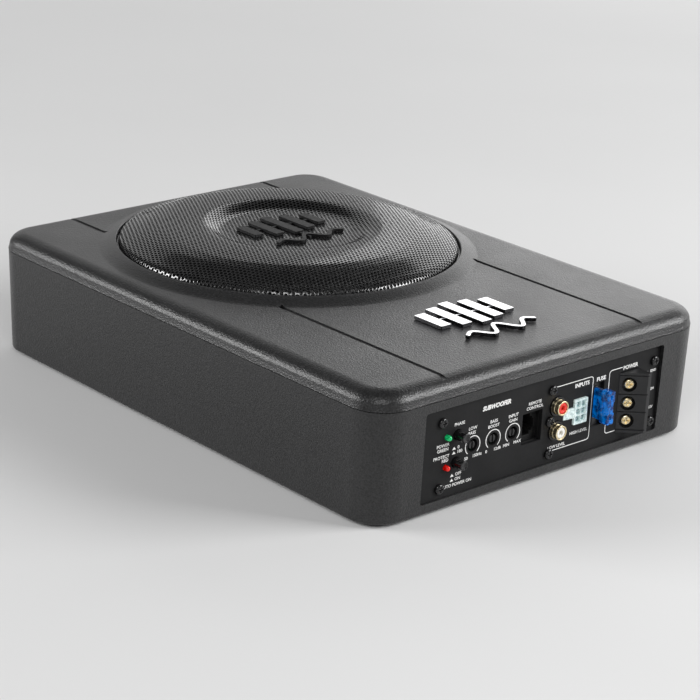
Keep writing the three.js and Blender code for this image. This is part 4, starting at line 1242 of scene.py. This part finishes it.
def build_rca():
    low, high = span("rca_base")
    block_front = PANEL_BACK + 0.3
    base = block("rca_moulding", (low.x, block_front, low.z), (high.x, high.y, high.z))
    collars, bores = [], []
    for colour in RCA_COLOURS:
        place = middle(f"rca_barrel_{colour}")
        collars.append(rod("collar", place, low.y, block_front + 1, RCA_COLLAR_RADIUS, 56, "y"))
        bores.append(rod("bore", place, low.y - 1, block_front + 4, 4.5, 48, "y"))
    join(base, *collars)
    for name in ("top_centre", "middle_centre", "bottom_centre"):
        place = middle(f"panel_screw_{name}")
        bores.append(rod("pilot", place, block_front - 1, block_front + 9, 1.8, 20, "y"))
    cut(base, *bores)
    finish_piece(soften(base, 0.25), "gloss_black", "rca_base")
    for colour in RCA_COLOURS:
        build_rca_socket(colour)


def build_rca_socket(colour):
    """One phono socket: gold barrel, coloured insulator and the hollow centre contact."""
    barrel, insert = f"rca_barrel_{colour}", f"rca_insert_{colour}"
    low, high = span(barrel)
    place = middle(barrel)
    outer, inner = 4.15, 3.3
    front, back = low.y, high.y
    waist = outer - 0.15
    profile = [(inner, back), (inner, front + 0.2), *arc((inner + 0.2, front + 0.2), 0.2, 180, 270, 3),
               *arc((outer - 0.25, front + 0.25), 0.25, 270, 360, 6), (outer, front + 2.2),
               (waist, front + 2.35), (waist, front + 2.75), (outer, front + 2.9), (outer, back)]
    finish_piece(turned(f"{barrel}_sleeve", profile, place, "y", 56), "gold", barrel)
    low, high = span(insert)
    bore = 1.2
    front = low.y - 0.25
    profile = [(bore, high.y), (bore, front + 0.5), *arc((bore + 0.5, front + 0.5), 0.5, 180, 270, 4),
               *arc((2.75, front + 0.4), 0.4, 270, 360, 4), (3.15, high.y)]
    finish_piece(turned(f"{insert}_core", profile, place, "y", 48), colour, insert)
    tube = [(0.7, low.y + 1.6), (1.1, low.y + 1.6), (1.1, high.y), (0.7, high.y)]
    finish_piece(turned(f"rca_contact_{colour}", tube, place, "y", 32), "gold")


HEADER_CELL_PITCH = 4.2


def build_header():
    """A 2 x 3 header: a pale shell with its latch ramp, floors in the cells in a darker copy of the nylon as
    painted shade, and six pins.
    """
    front, back = HEADER_LOW.y, HEADER_HIGH.y
    outline = rounded_outline((HEADER_BODY_X, HEADER_LOW.z), (HEADER_HIGH.x, HEADER_HIGH.z), 0.5, 4)
    shell = prism("header_shell", outline, front, back, "xz")
    root = HEADER_BODY_X + 1
    ramp = [(HEADER_LOW.x, front + 0.9), (root, front + 0.1), (root, back - 4), (HEADER_LOW.x, front + 3.5)]
    join(shell, prism("latch", ramp, *LATCH_Z))
    centre_x = (HEADER_BODY_X + HEADER_HIGH.x) / 2
    centre_z = (HEADER_LOW.z + HEADER_HIGH.z) / 2
    cells, pins, floors = [], [], []
    half = 1.75
    for column in (-0.5, 0.5):
        for row in (-1, 0, 1):
            x, z = centre_x + column * HEADER_CELL_PITCH, centre_z + row * HEADER_CELL_PITCH
            cell = rounded_outline((x - half, z - half), (x + half, z + half), 0.5, 3)
            cells.append(prism("cell", cell, front - 1, front + 9, "xz"))
            # Each cell gets a floor block in the darker nylon, painted shade in the cell.
            floors.append(bar("floor", x, z, half, half, front + 1.4, front + 9.5))
            pins.append(bar("pin", x, z, 0.4, 0.4, front + 0.9, front + 10))
    cut(shell, *cells)
    finish_piece(soften(shell, 0.15), "milky", "high_level_header")
    for parts, name, material in ((floors, "header_cell_floors_painted_shade", "cell_floor_shade"), (pins, "header_pins", "zinc")):
        parts[0].name = name
        finish_piece(soften(join(*parts), 0.1), material)


def build_fuse():
    """A blade fuse: capped window body, waist, two blades and the link inside."""
    (left, right), (low, high) = (FUSE_LOW.x, FUSE_HIGH.x), (FUSE_LOW.z, FUSE_HIGH.z)
    front = FUSE_LOW.y
    shoulder = front + 12.2
    cap = prism("fuse_body", rounded_outline((left, low), (right, high), 0.9, 5), front, front + 5.6, "xz")
    neck = rounded_outline((left + 0.7, low + 1.1), (right - 0.7, high - 1.1), 0.5, 4)
    join(cap, prism("waist", neck, front + 5, shoulder, "xz"))
    scoops = []
    for start, end in ((left - 1, left + 0.7), (right - 0.7, right + 1)):
        scoops.append(block("scoop", (start, front - 1, low + 6.4), (end, front + 3.8, high - 6.4)))
    for z in (low + 3.6, high - 3.6):
        scoops.append(bar("probe", FUSE_X, z, 0.7, 1.3, front - 1, front + 1.4))
    cut(cap, *scoops)
    finish_piece(soften(cap, 0.22), "blue", "blade_fuse", body="fuse")
    metal = []
    for z in BLADE_STARTS:
        end = (FUSE_X + 0.35, FUSE_HIGH.y, z + BLADE_WIDTH)
        metal.append(block("fuse_blades", (FUSE_X - 0.35, shoulder - 9, z), end))
    link = [(low + 5, 0.0), (low + 7.2, 2.2), (high - 7.2, -0.6), (high - 5, 1.6)]
    for (z0, y0), (z1, y1) in zip(link, link[1:]):
        y0, y1 = shoulder - 6 + y0, shoulder - 6 + y1
        strip = [(y0, z0), (y0 + 1.1, z0), (y1 + 1.1, z1), (y1, z1)]
        metal.append(prism("link", strip, FUSE_X - 0.25, FUSE_X + 0.25, "yz"))
    finish_piece(soften(join(*metal), 0.08), "zinc", body="fuse")


def build_fuse_holder():
    low, high = span("fuse_holder")
    holder = block("fuse_socket", low, high)
    inner = (FUSE_HIGH.x + CLEARANCE, FUSE_LOW.y + 12.5, FUSE_SLOT_Z[1])
    tools = [block("throat", (FUSE_SLOT_X[0], low.y - 1, FUSE_LOW.z - 1), inner)]
    for start in BLADE_STARTS:
        deep = (FUSE_X + 0.65, FUSE_HIGH.y + CLEARANCE, start + BLADE_WIDTH + CLEARANCE)
        tools.append(block("blade_slot", (FUSE_X - 0.65, low.y, start - CLEARANCE), deep))
    cut(holder, *tools)
    finish_piece(soften(holder, 0.15), "black", "fuse_holder")


# ---------------------------------------------------------------- power terminals
SLOPE_START = Vector((TERMINAL_LOW.x, PANEL_FACE))
SLOPE_END = Vector((TERMINAL_LOW.x + 12.0, TERMINAL_LOW.y))
SLOPE = (SLOPE_END - SLOPE_START).normalized()
SLOPE_OUT = Vector((SLOPE.y, -SLOPE.x))
SCREW_ALONG = 5.6
TERMINAL_NAMES = ("ground", "remote", "power")
# Turns +Z of a lathe to point out of the slope.
SLOPE_TURN = Matrix((
    (SLOPE.x, 0, SLOPE_OUT.x),
    (SLOPE.y, 0, SLOPE_OUT.y),
    (0, 1, 0),
))


def slope_point(along, outward, z):
    flat = SLOPE_START + SLOPE * along + SLOPE_OUT * outward
    return (flat.x, flat.y, z)


def slope_block(name, along, outward, z):
    """A box whose sides run along and square to the slope."""
    points = [slope_point(a, o, h) for a in along for o in outward for h in z]
    faces = [(0, 1, 3, 2), (4, 6, 7, 5), (0, 4, 5, 1), (2, 3, 7, 6), (0, 2, 6, 4), (1, 5, 7, 3)]
    return face_outwards(mesh_piece(name, points, faces))


def build_terminals():
    low, high = TERMINAL_LOW, TERMINAL_HIGH
    outline = [(low.x, high.y), tuple(SLOPE_START), tuple(SLOPE_END), (high.x, low.y), (high.x, high.y)]
    body = prism("terminal_moulding", outline, low.z, high.z)
    tools = []
    centres = [middle(f"{name}_terminal_screw").z for name in TERMINAL_NAMES]
    for z in centres:
        well = slope_point(SCREW_ALONG, 0, z)
        tools.append(lathe("well", [(0, -3), (4.1, -3), (4.3, 1), (0, 1)], well, 40, SLOPE_TURN))
        tools.append(lathe("shaft_hole", [(0, -8.6), (2.2, -8.6), (2.2, 0), (0, 0)], well, 28, SLOPE_TURN))
        tools.append(slope_block("wire_way", (4, 30), (-8.8, -2.8), (z - 3.7, z + 3.7)))
    pitch = (max(centres) - min(centres)) / 2
    for line in [z + pitch / 2 for z in centres] + [centres[2] - pitch / 2]:
        tools.append(slope_block("score", (-2, 20), (-0.6, 2), (line - 0.3, line + 0.3)))
    cut(body, *tools)
    finish_piece(soften(body, 0.25), "black", "terminal_block")
    for name in TERMINAL_NAMES:
        build_terminal_screw(name)


def build_terminal_screw(name):
    node = f"{name}_terminal_screw"
    z = middle(node).z
    at = slope_point(SCREW_ALONG, 0, z)
    profile = [(0, -0.4), *arc((1.9, -1.4), 1.0, 90, 0, 8), (2.9, -2.7), (1.9, -2.7), (1.9, -6.6),
               (1.4, -7.1), (0, -7.1)]
    screw = lathe(f"{node}_head", profile, at, 44, SLOPE_TURN)
    arms = []
    for u, v in ((1.9, 0.55), (0.55, 1.9)):
        arms.append(slope_block("recess", (SCREW_ALONG - u, SCREW_ALONG + u), (-1.9, 1), (z - v, z + v)))
    cut(screw, *arms)
    finish_piece(soften(screw, 0.12), "gold", node, body=f"{name}_screw")


# ---------------------------------------------------------------- woofer
def build_moving_skin(name, node, profile, segments):
    """A ring between the case and the moving cone, lathed from a profile by radius; it is built in place and
    stays still.
    """
    ring = lathe(name, profile, (0, WOOFER_Y, 0), segments)
    paint(ring, node)
    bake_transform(ring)
    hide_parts(node)


def build_surround():
    low, high = span("surround")
    base = low.z
    thickness = 0.9
    centre, reach = 82.4, 5.2
    height = high.z - base - thickness
    outer, inner = [], []
    for a in np.linspace(math.pi, 0, 25):
        outer.append((centre + reach * math.cos(a), base + thickness + height * math.sin(a)))
        inner.append((centre + (reach - thickness) * math.cos(a), base + height * math.sin(a)))
    start, end, top = 74.5, 90.6, base + thickness
    profile = [(start, base), (start, top), *outer, (end, top), (end, base), *inner[::-1]]
    build_moving_skin("surround_roll", "surround", profile, 128)


def build_spider():
    low, high = span("spider")
    inner_radius, outer_radius = 26.4, (high.x - low.x) / 2
    centre_z = (low.z + high.z) / 2
    upper = []
    for share in np.linspace(0, 1, 73):
        radius = inner_radius + (outer_radius - inner_radius) * share
        fade = min(1.0, share / 0.12, (1 - share) / 0.12)
        upper.append((radius, centre_z + 0.35 + 1.05 * fade * math.sin(2 * math.pi * 5 * share)))
    lower = [(r, z - 0.7) for r, z in reversed(upper)]
    build_moving_skin("spider_web", "spider", upper + lower, 96)


def build_cone():
    low, high = span("cone")
    rim, rim_z, neck, neck_z = (high.x - low.x) / 2, high.z, 26.2, low.z
    thickness = 1.2

    def flare(reach, lift, shares):
        rise = rim_z - neck_z - 1.8
        return [(neck + (reach - neck) * s, neck_z + lift + rise * s ** 1.08) for s in shares]

    fold = [(74.2, rim_z - 0.1), (rim, rim_z), (rim, rim_z - thickness), (74.2, rim_z - 0.1 - thickness)]
    profile = [(neck, neck_z + thickness), *flare(73, thickness, np.linspace(0.1, 1, 12)), *fold,
               *flare(72.6, 0, np.linspace(1, 0.1, 12)), (neck, neck_z)]
    paper = turned("cone_paper", profile, (0, WOOFER_Y, 0), "z", 128)
    finish_piece(paper, "cone", "cone", body="cone_assembly")


def build_dust_cap():
    low, high = span("dust_cap")
    radius, rise = (high.x - low.x) / 2, high.z - low.z - 1
    dome = [(radius * math.sin(a), low.z + 1 + rise * math.cos(a)) for a in np.linspace(0, math.pi / 2, 18)]
    under = [(r * 0.97, z - 1) for r, z in reversed(dome)]
    cap = turned("dust_cap_dome", dome + under, (0, WOOFER_Y, 0), "z", 96)
    finish_piece(cap, "cone", "dust_cap", body="cone_assembly")


def build_woofer_screws():
    for place_number in range(1, 5):
        name = f"woofer_screw_{place_number}"
        low, high = span(name)
        place = middle(name)
        head = high.z
        profile = [(0, low.z), (1.6, low.z + 2), (1.6, head - 1.2), (2.8, head - 1.2),
                   *arc((2.0, head - 0.8), 0.8, 0, 90, 6), (0, head)]
        recess = drive_recess(place, 1.7, 1.0, 0.7, "z", head - 0.8)
        finish_piece(turned(f"{name}_body", profile, place, "z", 36, 0.1, recess), "screw", name)


# ---------------------------------------------------------------- amplifier
def build_amplifier():
    """The board with its soldered parts as separate pieces, in the CAD board's place."""
    low, high = span("amplifier_board")
    board_z = (low.z, low.z + 1.6)
    riser_y = (low.y + 5.8, low.y + 7.4)
    parts = block("main_board", (low.x, riser_y[0] + 10, board_z[0]), (high.x, high.y, board_z[1]))
    riser_end = -21
    front = block("front_board", (low.x, riser_y[0], board_z[0]), (riser_end, riser_y[0] + 11, board_z[1]))
    riser = block("riser", (low.x, riser_y[0], board_z[0]), (riser_end, riser_y[1], high.z))
    join(parts, front, riser)
    finish_piece(soften(parts, 0.1), "board", "amplifier_board")
    for names, old, new, half, corner, travel in ((POTS, "shaft", "pot_body", 4.8, 0.6, 0.3),
                                                  (BUTTONS, "button", "switch_body", 3.8, 0.5, 2.3)):
        for name in names:
            place, back = middle(name), span(name)[1].y
            left, right, bottom, top = place.x - half, place.x + half, place.z - half, place.z + half
            square = rounded_outline((left, bottom), (right, top), corner, 4)
            body = prism(name.replace(old, new), square, back + travel, riser_y[0] - 0.05, "xz")
            finish_piece(soften(body, 0.2), "black")
    for number, x in enumerate((10, 28, 46), start=1):
        start = (x, CASE_Y - 98, board_z[1] + 0.05)
        chip = block(f"amplifier_chip_{number}", start, (x + 12, CASE_Y - 86, board_z[1] + 3))
        finish_piece(soften(chip, 0.3), "black")


CARRIED_OVER = {
    "case_gasket": "foam",
    "woofer_basket": "basket",
    "voice_coil": "copper",
    "motor_top_plate": "zinc",
    "magnet": "ferrite",
    "motor_back_plate": "zinc",
    "heat_sink": "aluminium",
    "toroid_transformer": "copper",
    "filter_capacitor": "sleeve",
}


def paint_carried_over():
    """Inner CAD nodes whose shape is right keep it, and get a finished material."""
    for name, material in CARRIED_OVER.items():
        paint(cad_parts[name], material)


def build_object():
    build_lower_case()
    build_top_cover()
    build_case_screws()
    build_feet()
    build_grille()
    build_silver_badge()
    build_dish_badge()
    build_panel()
    build_legends()
    build_panel_screws()
    build_lamps()
    build_buttons()
    build_pots()
    build_remote_jack()
    build_rca()
    build_header()
    build_fuse()
    build_fuse_holder()
    build_terminals()
    build_surround()
    build_spider()
    build_cone()
    build_dust_cap()
    build_woofer_screws()
    build_amplifier()
    paint_carried_over()


build_camera()
build_studio()
build_object()
